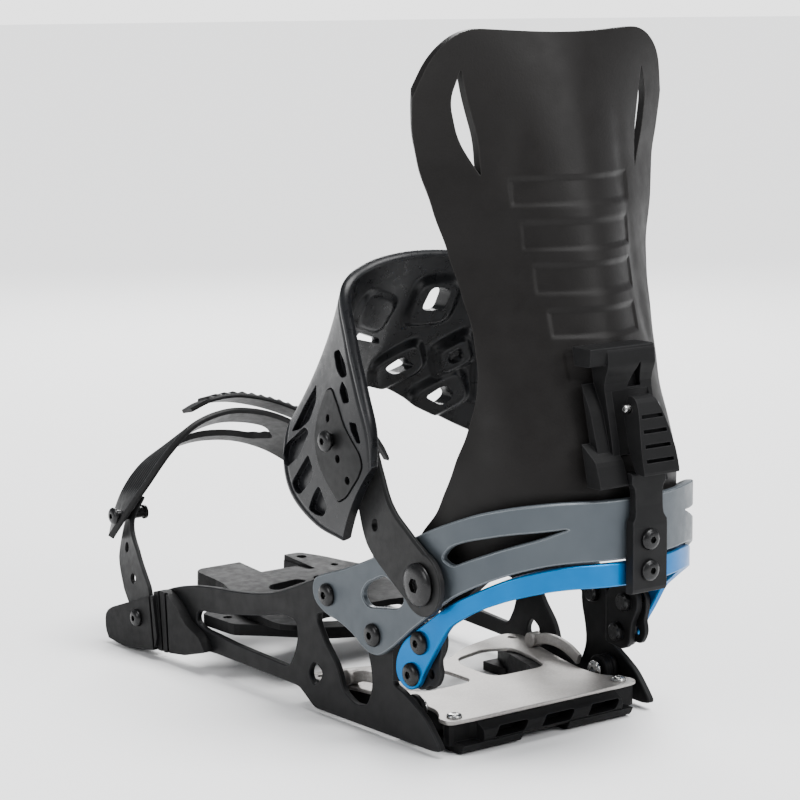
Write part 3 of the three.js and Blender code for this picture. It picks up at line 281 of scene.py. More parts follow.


# In each finish the colour after the grain list is the painted edge highlight, lighter than the surface
# tone.
MATERIALS = {
    "anodised_black": finish(
        "anodised_black", (0.004, 0.0041, 0.0044), (0.0068, 0.0068, 0.0072), 60, (0.44, 0.58), 180,
        [(2600, 0.00002)], (0.03, 0.03, 0.032), Metallic=0.0, Specular_IOR_Level=0.13),
    "slate_anodised": finish(
        "slate_anodised", (0.045, 0.055, 0.065), (0.06, 0.071, 0.081), 35, (0.36, 0.5), 220,
        [(2400, 0.000018)], (0.20, 0.22, 0.235), 0.0005, Metallic=0.4, Specular_IOR_Level=0.4),
    "cyan_anodised": finish(
        "cyan_anodised", (0.0, 0.105, 0.31), (0.0, 0.135, 0.375), 30, (0.28, 0.4), 150,
        [(1800, 0.00001)], (0.0, 0.19, 0.42), Metallic=0.8, Specular_IOR_Level=0.1),
    "tumbled_steel": metal_tumbled(),
    "bright_steel": finish(
        "bright_steel", (0.36, 0.36, 0.355), (0.55, 0.55, 0.54), 300, (0.2, 0.34), 500,
        [(1500, 0.00001)], (0.6, 0.6, 0.6), 0.0002, Metallic=1.0),
    "black_screw": finish(
        "black_screw", (0.004, 0.004, 0.0045), (0.009, 0.009, 0.0095), 400, (0.24, 0.38), 700,
        [(1800, 0.000012)], (0.05, 0.05, 0.05), 0.00025, Metallic=0.5),
    "nylon_black": finish(
        "nylon_black", (0.0045, 0.0045, 0.0047), (0.0053, 0.0053, 0.0056), 160, (0.46, 0.6), 260,
        [(1500, 0.00003), (500, 0.00002)], (0.02, 0.02, 0.021), Specular_IOR_Level=0.1),
    "highback_nylon": finish(
        "highback_nylon", (0.0056, 0.0050, 0.0048), (0.0084, 0.0076, 0.0073), 14, (0.42, 0.54), 120,
        [(1100, 0.00005), (60, 0.00005)], (0.026, 0.025, 0.024), 0.0005, Specular_IOR_Level=0.15),
    "pad_elastomer": finish(
        "pad_elastomer", (0.0052, 0.0054, 0.0062), (0.009, 0.0094, 0.0106), 50, (0.24, 0.38), 300,
        [(1300, 0.00002)], (0.028, 0.029, 0.032), 0.0005, Specular_IOR_Level=0.22),
    "strap_elastomer": finish(
        "strap_elastomer", (0.0048, 0.0048, 0.005), (0.0085, 0.0085, 0.0088), 50, (0.38, 0.52), 300,
        [(1300, 0.00003)], (0.027, 0.027, 0.028), 0.0004, Specular_IOR_Level=0.16),
}
SLOT_OF = {p["node"]: p["material_slot"] for p in frame["record"]["subparts"]}
BODY_OF = {n: b for b, names in frame["record"]["behaviour"]["bodies"].items() for n in names}
done = set()


# ---------------- mesh helpers
def rounded(points, steps=5):
    """Outline with rounded corners: points are (a, b) or (a, b, radius)."""
    out = []
    n = len(points)
    for i, p in enumerate(points):
        here = np.array(p[:2], float)
        r = p[2] if len(p) > 2 else 0
        before = np.array(points[i - 1][:2], float) - here
        after = np.array(points[(i + 1) % n][:2], float) - here
        la, lb = np.linalg.norm(before), np.linalg.norm(after)
        if r <= 0 or la < 1e-6 or lb < 1e-6:
            out.append(here)
            continue
        reach = min(r, la * 0.5, lb * 0.5)
        a, b = here + before / la * reach, here + after / lb * reach
        for k in range(steps + 1):
            t = k / steps
            out.append((1 - t) ** 2 * a + 2 * t * (1 - t) * here + t * t * b)
    return np.array(out)


def ring(a, b, r, sides=28):
    t = np.linspace(0, 2 * np.pi, sides, endpoint=False)
    return np.stack([a + r * np.cos(t), b + r * np.sin(t)], 1)


def ccw(loop):
    x, y = loop[:, 0], loop[:, 1]
    return loop if np.sum(x * np.roll(y, -1) - np.roll(x, -1) * y) > 0 else loop[::-1]


def tidy_loop(loop, least=0.12):
    """Drops points closer together than least."""
    keep = [loop[0]]
    for p in loop[1:]:
        if np.linalg.norm(p - keep[-1]) > least:
            keep.append(p)
    if np.linalg.norm(keep[0] - keep[-1]) < least:
        keep.pop()
    return np.array(keep)


def inset(loop, d):
    """Offsets a counter-clockwise loop inwards by d (outwards if negative)."""
    e = np.roll(loop, -1, 0) - loop
    e /= np.maximum(np.linalg.norm(e, axis=1, keepdims=True), 1e-9)
    n1 = np.stack([-e[:, 1], e[:, 0]], 1)
    n0 = np.roll(n1, 1, 0)
    m = n0 + n1
    return loop + m * (d / np.maximum((m * m).sum(1, keepdims=True) * 0.5, 0.35))


def plate(outline, holes, t, bevel=0.35):
    """Flat plate from w = 0 to t with chamfered edges. Returns vertices (u, v, w) and faces."""
    loops = [tidy_loop(ccw(np.asarray(outline)))] + [tidy_loop(ccw(np.asarray(h))) for h in holes]
    verts, faces, caps = [], [], {0: [], 1: []}
    for k, loop in enumerate(loops):
        sign = 1 if k == 0 else -1
        shrunk = inset(loop, sign * bevel)
        layers = [(shrunk, 0), (loop, bevel), (loop, t - bevel), (shrunk, t)]
        base = len(verts)
        n = len(loop)
        for points, w in layers:
            verts += [(p[0], p[1], w) for p in points]
        for j in range(3):
            for i in range(n):
                a, b = base + j * n + i, base + j * n + (i + 1) % n
                quad = (a, b, b + n, a + n)
                faces.append(quad if k == 0 else quad[::-1])
        caps[0].append(range(base, base + n))
        caps[1].append(range(base + 3 * n, base + 4 * n))
    for side in (0, 1):
        rings = [list(r) for r in caps[side]]
        flat = [[Vector((verts[i][0], verts[i][1], 0)) for i in r] for r in rings]
        order = [i for r in rings for i in r]
        for tri in tessellate_polygon(flat):
            a, b, c = (order[i] for i in tri)
            pa, pb, pc = verts[a], verts[b], verts[c]
            area2 = (pb[0] - pa[0]) * (pc[1] - pa[1]) - (pb[1] - pa[1]) * (pc[0] - pa[0])
            if abs(area2) > 1e-9:
                faces.append((a, b, c) if (area2 > 0) == (side == 1) else (a, c, b))
    return np.array(verts, float), faces


def sliced(verts, faces, cuts, axis=0):
    """Adds edges across a mesh at the given positions, so that it can be bent smoothly."""
    bm = bmesh.new()
    vs = [bm.verts.new(v) for v in verts]
    for f in faces:
        try:
            bm.faces.new([vs[i] for i in f])
        except ValueError:
            pass
    normal = [0, 0, 0]
    normal[axis] = 1
    for c in cuts:
        point = [0, 0, 0]
        point[axis] = c
        bmesh.ops.bisect_plane(bm, geom=bm.verts[:] + bm.edges[:] + bm.faces[:], dist=1e-5,
                               plane_co=point, plane_no=normal)
    bm.verts.index_update()
    v = np.array([x.co[:] for x in bm.verts])
    f = [tuple(x.index for x in face.verts) for face in bm.faces]
    bm.free()
    return v, f


def grid_solid(at, nu, nv, outer, inner):
    """Closed thin solid over a surface at(u, v) given as arrays; offsets along its normal in mm."""
    u, v = np.meshgrid(np.linspace(0, 1, nu + 1), np.linspace(0, 1, nv + 1), indexing="ij")
    p = at(u, v)
    e = 1e-3
    du = at(np.minimum(u + e, 1), v) - at(np.maximum(u - e, 0), v)
    dv = at(u, np.minimum(v + e, 1)) - at(u, np.maximum(v - e, 0))
    n = np.cross(du, dv)
    n /= np.maximum(np.linalg.norm(n, axis=-1, keepdims=True), 1e-12)
    a = outer(u, v, p) if callable(outer) else np.full(u.shape, float(outer))
    b = inner(u, v, p) if callable(inner) else np.full(u.shape, float(inner))
    top, low = p + n * a[..., None], p + n * b[..., None]
    verts = np.concatenate([top.reshape(-1, 3), low.reshape(-1, 3)])
    w, size = nv + 1, (nu + 1) * (nv + 1)
    faces = []
    for i in range(nu):
        for j in range(nv):
            q = i * w + j
            faces.append((q, q + w, q + w + 1, q + 1))
            faces.append((size + q, size + q + 1, size + q + w + 1, size + q + w))
    rim = [i * w for i in range(nu + 1)] + [nu * w + j for j in range(1, nv + 1)]
    rim += [i * w + nv for i in range(nu - 1, -1, -1)] + [j for j in range(nv - 1, 0, -1)]
    for i, a0 in enumerate(rim):
        b0 = rim[(i + 1) % len(rim)]
        faces.append((b0, a0, size + a0, size + b0))
    return verts, faces


def lathe(profile, sides=28):
    """Solid of revolution about x from (radius, x) pairs that start and end on the axis."""
    verts, faces, rows = [], [], []
    for r, x in profile:
        if r < 1e-9:
            rows.append([len(verts)])
            verts.append((x, 0, 0))
        else:
            rows.append(list(range(len(verts), len(verts) + sides)))
            for k in range(sides):
                t = 2 * math.pi * k / sides
                verts.append((x, r * math.cos(t), r * math.sin(t)))
    for a, b in zip(rows, rows[1:]):
        for k in range(sides):
            m = (k + 1) % sides
            if len(a) == 1 and len(b) == 1:
                continue
            if len(a) == 1:
                faces.append((a[0], b[m], b[k]))
            elif len(b) == 1:
                faces.append((a[k], a[m], b[0]))
            else:
                faces.append((a[k], a[m], b[m], b[k]))
    return np.array(verts, float), faces


def prism(loop, axis, low, high):
    """Straight prism of a loop along an axis, used as a cutting tool."""
    v, f = plate(loop, [], high - low, 0.0)
    v = v.copy()
    v[:, 2] += low
    return place_uvw(v, axis), f


def place_uvw(v, axis):
    if axis == "x":
        return np.stack([v[:, 2], v[:, 0], v[:, 1]], 1)
    if axis == "y":
        return np.stack([v[:, 0], v[:, 2], v[:, 1]], 1)
    return v


def to_mesh(name, verts, faces):
    mesh = bpy.data.meshes.new(name)
    mesh.from_pydata([tuple(p) for p in (np.asarray(verts) - ORIGIN) * MM], [], [tuple(f) for f in faces])
    bm = bmesh.new()
    bm.from_mesh(mesh)
    bmesh.ops.remove_doubles(bm, verts=bm.verts[:], dist=1e-7)
    bmesh.ops.recalc_face_normals(bm, faces=bm.faces[:])
    bm.to_mesh(mesh)
    bm.free()
    return mesh


def as_object(mesh):
    """Puts a mesh into an object, so that it can be cut or used as a tool."""
    o = bpy.data.objects.new("tool", mesh)
    show(o)
    return o


def helper(verts, faces):
    return as_object(to_mesh("tool", verts, faces))


def boolean(base, tools, operation="DIFFERENCE"):
    """Cuts a list of tool meshes from the base mesh and returns the resulting mesh."""
    target = helper(*base) if isinstance(base, tuple) else base
    made = []
    for tool in tools:
        t = helper(*tool) if isinstance(tool, tuple) else tool
        made.append(t)
        m = target.modifiers.new("cut", "BOOLEAN")
        m.operation = operation
        m.object = t
        m.solver = "EXACT"
    dg = bpy.context.evaluated_depsgraph_get()
    mesh = bpy.data.meshes.new_from_object(target.evaluated_get(dg))
    for o in made + [target]:
        bpy.data.objects.remove(o)
    return mesh


def weighted_normals(o):
    o.modifiers.new("weighted", "WEIGHTED_NORMAL").keep_sharp = True


def piece(name, mesh, body, material, replaces=(), sharp=38):
    """Adds one visible piece, rides it on its body and lets it stand for CAD nodes."""
    if isinstance(mesh, tuple):
        mesh = to_mesh(name, *mesh)
    mesh.name = name
    mesh.polygons.foreach_set("use_smooth", [True] * len(mesh.polygons))
    mesh.set_sharp_from_angle(angle=math.radians(sharp))
    mesh.materials.clear()
    mesh.materials.append(MATERIALS[material])
    o = bpy.data.objects.new(name, mesh)
    show(o)
    weighted_normals(o)
    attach(o, body)
    if replaces:
        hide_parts(*replaces)
        done.update(replaces)
    return o


def stand_for(node, mesh, **options):
    """A piece that takes the place of a CAD node, with its body and its material."""
    return piece(node + "_fine", mesh, BODY_OF[node], SLOT_OF[node], (node,), **options)


# ---------------- places on the chassis
def on_side(side, y, z, a):
    """From side-plate coordinates (y, z, a outwards) to the drawing frame."""
    c, s = math.cos(TOE_OUT), math.sin(TOE_OUT)
    x = a * c + y * s + PLATE_X
    return np.stack([side * x, -a * s + y * c, z + 0 * x], 1)


def side_mesh(side, outline, holes, a0, t, bevel=0.35):
    v, f = plate(outline, holes, t, bevel)
    return on_side(side, v[:, 0], v[:, 1], a0 + v[:, 2]), f


def hole(p):
    return ring(p[0], p[1], HOLE)


SIDES = (("left", -1), ("right", 1))


def side_plates():
    outline = rounded([
        (0, 3, 4), (6, 2, 2), (84, 2, 2), (95, 9, 3), (158, 10, 6), (190, 8, 4), (202, 12, 3), (202, 29, 2),
        (190, 34, 8), (172, 38, 6), (156, 40, 8), (141, 41, 6), (126, 43, 6), (112, 46, 6), (98, 51, 6),
        (84, 57, 4), (74, 60, 4), (63, 59, 3), (62, 50, 3), (70, 46, 3), (81, 43, 3), (81, 40, 4),
        (76, 32, 5), (67, 23, 5), (64, 14, 3), (56, 10, 3), (48, 11, 3), (44, 20, 5), (45, 28, 4),
        (48, 38, 5), (47, 49, 5), (39, 53, 5), (31, 50, 3), (30, 46, 1), (30, 24, 1), (24, 22, 1),
        (18, 19, 3), (11, 15, 3), (5, 9, 3)])
    window = rounded([
        (170, 27, 3), (150, 29, 5), (122, 34, 6), (107, 38, 5), (96, 37, 4), (95, 31, 4), (97, 24, 4),
        (102, 16, 3), (141, 17.5, 3), (166, 19.5, 4), (172, 22, 3)])
    drop = rounded([(84, 22.5, 3), (77.5, 18.5, 3), (80, 14.5, 2), (84, 11.5, 3), (88, 16, 3)])
    tab = rounded([
        (24.2, 25, 1), (24.2, 47, 1), (20, 51.5, 3), (12, 53.5, 4), (4.5, 50.5, 4), (3.5, 44, 4),
        (8, 36, 3), (8.5, 28, 3), (13, 24, 3)])
    half = PLATE_T / 2
    for word, side in SIDES:
        name = f"side_plate_{word}"
        stand_for(name, side_mesh(side, outline, [window, drop, hole(REAR_SCREW), hole(FRONT_SCREW)],
                                  -half, PLATE_T, 0.45))
        piece(f"side_plate_tab_{word}", side_mesh(side, tab, [hole(p) for p in TAB_SCREWS],
                                                  -half - TAB_OFFSET, PLATE_T), "chassis", "anodised_black")
        step = [(-half, 30.5), (half, 30.5), (half, 29.8), (half - TAB_OFFSET, 24),
                (half - TAB_OFFSET, 23.5), (-half - TAB_OFFSET, 23.5), (-half - TAB_OFFSET, 24.6)]
        v, f = plate(np.array(step), [], 20, 0.2)
        piece(f"side_plate_step_{word}", (on_side(side, v[:, 1], 25.5 + v[:, 2], v[:, 0]), f),
              "chassis", "anodised_black")


def adjuster_plates():
    a0 = -PLATE_T / 2 + PLATE_T - TAB_OFFSET + GAP
    outline = rounded([
        (20, 50, 4), (12, 53, 4), (8, 50, 3), (5.5, 52, 4), (1.9, 49, 3), (2, 42, 3), (3.5, 38.5, 3),
        (2, 33, 4), (5.5, 27.5, 4), (10, 28, 3), (13, 25, 3), (18, 24.5, 4), (22.5, 29, 4), (21, 38, 4),
        (22.5, 45, 4)])
    holes = [hole(p) for p in TAB_SCREWS] + [ring(5.4, 47.6, 2), ring(8.6, 32.6, 2)]
    for word, side in SIDES:
        stand_for(f"adjuster_plate_{word}", side_mesh(side, outline, holes, a0, ADJUSTER_T, 0.3))


# ---------------- heel loops
LOOP_B = LOOP_REACH - LOOP_T


def band_outline(points):
    """Side-view points (y, z) of the right half to (s, z), s measured from the rear centre."""
    p = rounded(points, 6)
    rear = LOOP_B + LOOP_T / 2
    t = np.arcsin(np.clip((LOOP_Y - p[:, 0]) / rear, 0, 1))
    s = np.where(p[:, 0] >= LOOP_Y, p[:, 0] - LOOP_Y, -rear * t) + rear * math.pi / 2
    return np.stack([s, p[:, 1]], 1)


def loop_band(points, holes, wide, bevel):
    """Flat band cut to its outline and bent round the heel, half its width being wide."""
    rear = LOOP_B + LOOP_T / 2
    turn = rear * math.pi / 2
    half = band_outline(points)
    half = half[half[:, 0] > 0.8]
    left = half[::-1].copy()
    left[:, 0] *= -1
    outline = np.concatenate([half, left])
    cuts = []
    for h in holes:
        b = band_outline(h)
        m = b.copy()
        m[:, 0] *= -1
        cuts += [b, m]
    v, f = plate(outline, cuts, LOOP_T, bevel)
    v, f = sliced(v, f, [k * 3.0 for k in range(-29, 30)])
    s, z, w = v[:, 0], v[:, 1], v[:, 2]
    q = np.abs(s) - turn
    t = np.clip(-q / rear, 0, math.pi / 2)
    y = np.where(q >= 0, LOOP_Y + q, LOOP_Y - (LOOP_B + w) * np.sin(t))
    x = np.where(q >= 0, wide + w + math.tan(TOE_OUT) * q, (wide + w) * np.cos(t))
    return np.stack([np.sign(s) * x, y, z], 1), f


def circle_points(p, r=HOLE, n=14):
    return [(p[0] + r * math.cos(2 * math.pi * k / n), p[1] + r * math.sin(2 * math.pi * k / n))
            for k in range(n)]


def heel_loops():
    lean = math.tan(TOE_OUT) * LOOP_Y
    upper = [
        (-56, 84), (-42, 83, 4), (-32, 79.5, 6), (-20, 73.5, 6), (-7, 66, 6), (4, 57.5, 6), (17, 48, 6),
        (27, 40, 6), (36, 34.5, 4), (45, 35.5, 5), (51, 40, 5), (61, 44, 6), (71, 45.5, 5), (79, 50, 6),
        (79.5, 59, 5), (71, 62.5, 5), (60, 66, 8), (40, 74, 10), (24, 82, 8), (7, 90, 8), (-3, 94.5, 6),
        (-20, 101.5, 8), (-33, 105, 6), (-42, 106.5, 3), (-56, 107)]
    window = [(31, 69, 3), (43, 63.5, 3), (46.5, 58, 3), (42, 54, 3), (22, 57, 3), (18, 62, 3)]
    slot = [(-4, 82, 2), (-8, 87, 3), (-15, 90, 4), (-29, 93.8, 4), (-44, 96.4, 0.5), (-38, 92.5, 4),
            (-29, 88.8, 4), (-15, 82.5, 4), (-9, 79.6, 2)]
    holes = [window, slot, circle_points(FRONT_SCREW), circle_points(REAR_SCREW),
             circle_points(PIVOT, PIVOT_HOLE)]
    stand_for("upper_heel_loop", loop_band(upper, holes, PLATE_X + UPPER_IN + lean, 0.5))
    lower = [
        (-56, 83.2), (-42, 81.8, 4), (-31, 77.8, 6), (-18, 70.8, 6), (-6, 64, 6), (7, 54.5, 6),
        (16, 48.5, 4), (23, 43, 5), (27, 35, 5), (26.5, 28, 5), (20, 24, 5), (13.5, 26, 4), (9, 34, 6),
        (2.5, 43, 6),
        (-3, 51, 6), (-6, 55, 5), (-18, 63, 6), (-31, 69.2, 6), (-42, 72.8, 4), (-56, 73.6)]
    stand_for("lower_heel_loop", loop_band(lower, [circle_points(p) for p in TAB_SCREWS],
                                           PLATE_X + LOWER_IN + lean, 0.5))


# ---------------- screws
def screw(outside, inside, head=4.8, shank=2.5, head_t=2.4, nut_t=3.0):
    """Button-head screw along +x with a hex socket and a nylon-insert nut."""
    steps = 6
    turns = [k / steps * math.pi / 2 for k in range(steps + 1)]
    dome = [(head * (1 - (1 - math.cos(t)) * 0.62), outside + head_t * (0.25 + 0.75 * math.sin(t)))
            for t in turns]
    profile = [(0, inside - nut_t), (head * 0.62, inside - nut_t), (head * 0.8, inside - nut_t * 0.75),
               (head * 0.82, inside), (shank, inside), (shank, outside), (head * 0.97, outside)] + dome
    profile += [(head * 0.36, outside + head_t), (0, outside + head_t)]
    socket = prism(ring(0, 0, head * 0.36, 6), "x", outside + head_t * 0.35, outside + head_t + 1)
    return boolean(lathe(profile), [socket])


def move(mesh, matrix):
    """Places a mesh drawn about the origin by a 4x4 in drawing millimetres."""
    co = np.empty(len(mesh.vertices) * 3)
    mesh.vertices.foreach_get("co", co)
    p = co.reshape(-1, 3) / MM + ORIGIN
    m = np.array(matrix)
    p = p @ m[:3, :3].T + m[:3, 3]
    mesh.vertices.foreach_set("co", ((p - ORIGIN) * MM).ravel())
    if np.linalg.det(m[:3, :3]) < 0:
        mesh.flip_normals()
    mesh.update()
    return mesh


def side_matrix(side, y, z):
    """Turns and moves a piece drawn along +x to stand outwards on a side plate."""
    c, s = math.cos(TOE_OUT), math.sin(TOE_OUT)
    m = np.eye(4)
    m[:3, 0] = (side * c, -s, 0)
    m[:3, 1] = (side * s, c, 0)
    m[:3, 3] = on_side(side, np.array([y]), np.array([z]), np.array([0.0]))[0]
    return m


def straight_matrix(side, y, z):
    m = np.eye(4)
    m[0, 0] = side
    m[:3, 3] = (0, y, z)
    return m


def screws():
    upper = (UPPER_IN + LOOP_T, -PLATE_T / 2)
    lower = (LOWER_IN + LOOP_T, -PLATE_T / 2 - TAB_OFFSET)
    for word, side in SIDES:
        jobs = [("loop_screw_front", upper, FRONT_SCREW), ("loop_screw_rear", upper, REAR_SCREW),
                ("lower_loop_screw_top", lower, TAB_SCREWS[0]),
                ("lower_loop_screw_bottom", lower, TAB_SCREWS[1])]
        for name, (a, b), at in jobs:
            stand_for(f"{name}_{word}", move(screw(a, b), side_matrix(side, *at)))
        stand_for(f"toe_mount_screw_{word}", move(screw(8.4, -1.5, 4), side_matrix(side, *TOE_SCREW)))
        pivot_bolt = screw(63.8, 50, 8.6, 4, 2.8, 2.6)
        stand_for(f"pivot_bolt_{word}", move(pivot_bolt, straight_matrix(side, *PIVOT)))
        turn = np.eye(4)
        turn[:3, :3] = ((0, 0, 1), (0, 1, 0), (1, 0, 0))
        turn[:3, 3] = (side * HEEL_SCREW[0], HEEL_SCREW[1], 0)
        stand_for(f"heel_plate_screw_{word}", move(screw(13, 4, 3.2, 1.6, 1.6, 0.01), turn))
    for name, ends, sizes, at in (("ankle_plate_screw", (69.6, 54), (4.4, 2.5, 2.2, 1.6), PAD_SCREW),
                                  ("toe_cap_screw", (71.8, 56.8), (4, 2.5, 2, 1.6), CAP_SCREW)):
        stand_for(name, move(screw(*ends, *sizes), straight_matrix(-1, *at)))
    for name, z in (("clamp_bolt_upper", CLAMP_BOLTS[0]), ("clamp_bolt_lower", CLAMP_BOLTS[1])):
        turn = np.eye(4)
        turn[:3, :3] = ((0, 1, 0), (-1, 0, 0), (0, 0, 1))
        turn[:3, 3] = (0, LOOP_REAR - GAP - 4.4, z)
        stand_for(name, move(screw(0, -8.2, 4.2, 2.5, 2.2, 1.6), turn))


# ---------------- base, heel plate, small hardware
def mirrored(right):
    return list(right) + [(-p[0], *p[1:]) for p in right[1:-1][::-1]]


def heel_plate():
    outline = rounded(mirrored([
        (0, 3), (40, 3, 5), (49.5, 4, 4), (49.5, 11, 3), (46, 15, 3), (42.5, 22, 8), (42.5, 34, 8),
        (46, 50, 10), (52, 74, 6), (57, 90, 3), (54, 97, 4), (45, 96, 6), (24, 90, 8), (8, 80, 5),
        (0, 80)]), 8)
    holes = []
    for s in (1, -1):
        holes.append(rounded([
            (s * 5, 48, 4), (s * 5.5, 66, 5), (s * 10, 77, 5), (s * 30, 82.5, 6), (s * 40, 76, 5),
            (s * 37.5, 58, 6), (s * 33, 44.5, 6), (s * 9, 44.5, 4)], 8))
        holes += [ring(s * HEEL_SCREW[0], HEEL_SCREW[1], 1.9), ring(s * 51, 90, 2)]
    v, f = plate(outline, holes, HEEL_PLATE_T, 0.3)
    v[:, 2] += HEEL_PLATE_Z
    stand_for("heel_plate", (v, f))


def barrels():
    for word, side in SIDES:
        profile = [(0, 0), (5.5, 0), (6, 0.5), (6, 2.2), (5.2, 2.8), (5.2, 4.2), (6, 4.8), (6, 6.4),
                   (5.6, 6.8), (0, 6.8)]
        m = side_matrix(side, 27, 13)
        v, f = lathe(profile, 40)
        v[:, 0] -= 8.6
        stand_for(f"axle_barrel_{word}", move(to_mesh("barrel", v, f), m))
        pin = move(screw(0.6, 0.1, 4, 2, 1.6, 0.4), np.diag([-1.0, 1, 1, 1]))
        shift = m @ np.array([[1, 0, 0, -9.2], [0, 1, 0, 0], [0, 0, 1, 0], [0, 0, 0, 1.0]])
        stand_for(f"axle_pin_{word}", move(pin, shift))


LINK_EYE = (46, 72, 16.2)


def latch_links():
    """A bent flat bar with a round eye at its front end, on each side."""
    middle = curve([(48.5, 71, 16), (48.2, 63, 18.5), (47.6, 54, 19), (46.8, 45, 17.6), (46, 38, 15)])
    for word, side in SIDES:
        path = middle(np.linspace(0, 1, 41)) * (side, 1, 1)
        section = rounded([(-2.4, -1.1, 0.8), (2.4, -1.1, 0.8), (2.4, 1.1, 0.8), (-2.4, 1.1, 0.8)], 4)
        tangent = np.gradient(path, axis=0)
        tangent /= np.linalg.norm(tangent, axis=1, keepdims=True)
        across = np.cross(tangent, [1.0, 0, 0])
        across /= np.linalg.norm(across, axis=1, keepdims=True)
        n, verts, faces = len(section), [], []
        for p, a in zip(path, across):
            verts += [p + (s[1], 0, 0) + a * s[0] for s in section]
        for i in range(len(path) - 1):
            for k in range(n):
                a, b = i * n + k, i * n + (k + 1) % n
                faces.append((a, b, b + n, a + n))
        faces += [tuple(range(n))[::-1], tuple(range(len(verts) - n, len(verts)))]
        eye, eye_faces = lathe([(0, 0), (2.9, 0), (3.3, 0.4), (3.3, 5.1), (2.9, 5.5), (0, 5.5)], 32)
        eye = (eye + LINK_EYE) * (side, 1, 1)
        stand_for(f"latch_link_{word}", boolean((np.array(verts), faces), [(eye, eye_faces)], "UNION"))


# ---------------- highback
ROWS = np.array([
    (58, 54.6, 24), (76, 54.6, 23), (87, 54.2, 15.5), (99, 53.2, 4.5), (117, 51, -2.5), (130, 48, -7),
    (142, 45.4, -9), (152, 45, -10), (169, 45.2, -7), (184, 47.2, -2), (198, 50, 2), (215, 55, 5),
    (232, 59, 9), (244, 61.5, 9), (254, 62.2, 8), (284, 62.5, 3)], float)


def smoothstep(x, a, b):
    t = np.clip((x - a) / (b - a), 0, 1)
    return t * t * (3 - 2 * t)


def smooth_rows():
    """Half width and edge position over height, eased between the rows and slightly smoothed."""
    z = np.arange(46, 296, 1.0)
    i = np.clip(np.searchsorted(ROWS[:, 0], z) - 1, 0, len(ROWS) - 2)
    f = np.clip((z - ROWS[i, 0]) / (ROWS[i + 1, 0] - ROWS[i, 0]), 0, 1)
    s = f * f * (3 - 2 * f) * 0.5 + f * 0.5
    kernel = np.exp(-(np.arange(-10, 11) / 4.0) ** 2)
    out = []
    for column in (1, 2):
        value = ROWS[i, column] * (1 - s) + ROWS[i + 1, column] * s
        padded = np.pad(value, 10, mode="edge")
        out.append(np.convolve(padded, kernel / kernel.sum(), "valid"))
    return z, out[0], out[1]


ROW_Z, ROW_W, ROW_E = smooth_rows()


def spine_y(z):
    return np.where(z < 110, -47.4, -47.4 + (z - 110) * 0.2285)


def soft_spine_y(z):
    blend = smoothstep(z, 98, 122)
    return spine_y(z) + 0.6 * blend * (1 - blend) * 4 * 0.35


def highback_surface(u, z):
    w = np.interp(z, ROW_Z, ROW_W)
    edge = np.interp(z, ROW_Z, ROW_E)
    bend = 1.5 - 1.1 * smoothstep(z, 105, 262)
    a = (2 * u - 1) * bend
    x = w * np.sin(a) / np.sin(bend)
    round_part = (1 - np.cos(a)) / (1 - np.cos(bend))
    k = 0.3
    vee = (np.hypot(x / w, k) - k) / (math.hypot(1, k) - k)
    f = smoothstep(z, 112, 190)
    spine = soft_spine_y(z)
    y = spine + (edge - spine) * (round_part * (1 - f) + vee * f)
    return np.stack([x, y, z], -1)


def highback_pattern(x, z):
    """Depth of the five plain level bars recessed in the back, narrower towards the heel."""
    depth = np.zeros(x.shape)
    for k in range(5):
        low, half = 150 + 16.5 * k, 19 + 2.6 * k
        inside = np.minimum(np.minimum(z - low, low + 10.5 - z), half - np.abs(x))
        depth = np.maximum(depth, 0.7 * smoothstep(inside, -0.3, 0.5))
    return depth


def highback():
    """Creased shell, trimmed to its side and rear outlines, with two slots and the pivot bores."""
    z0, z1 = 56.0, 284.5

    def at(u, v):
        return highback_surface(u, z0 + (z1 - z0) * v)

    def outer(u, v, p):
        x, z = p[..., 0], p[..., 2]
        off = np.abs(x) - (38 - (z - 110) * 0.10)
        crease = 0.72 * np.exp(-(off / 5.0) ** 2) * smoothstep(z, 130, 175)
        crease *= 1 - smoothstep(z, 232, 262)
        return -highback_pattern(x, z) - crease - 0.02

    shell = grid_solid(at, 170, 230, outer, -HIGHBACK_T)
    lower = rounded([
        (-80, 91), (-42, 89, 4), (-33, 85.5, 6), (-20, 79, 6), (-10, 69, 6), (-3, 61.5, 5), (5, 58.8, 6),
        (13, 61.5, 6), (17.5, 70, 6), (18, 80, 3), (22, 86), (90, 200), (90, 20), (-80, 20)], 8)
    front = rounded([
        (-70, 50), (70, 50), (70, 230, 2), (62, 258, 14), (56, 274, 14), (44, 283, 10), (0, 280.5, 20),
        (-44, 283, 10), (-56, 274, 14), (-62, 258, 14), (-70, 230, 2)], 10)
    frame_loop = ccw(np.array([(-90, 40), (90, 40), (90, 300), (-90, 300)], float))
    around = plate(frame_loop, [front], 200, 0.0)
    around = (place_uvw(around[0] - np.array([0, 0, 120]), "y"), around[1])
    tools = [prism(lower, "x", -90, 90), around]
    for s in (1, -1):
        tools.append(prism(rounded([
            (s * 45, 268, 1.5), (s * 49, 256, 5), (s * 46, 241, 5), (s * 38.5, 227, 1.5), (s * 39, 241, 6),
            (s * 42.5, 255, 6)], 8), "y", -60, 40))
    tools.append(prism(ring(*PIVOT, PIVOT_HOLE), "x", -80, 80))
    tools.append(prism(ring(*PIVOT, 7.8), "x", -50.2, 50.2))
    stand_for("highback", boolean(shell, tools), sharp=50)


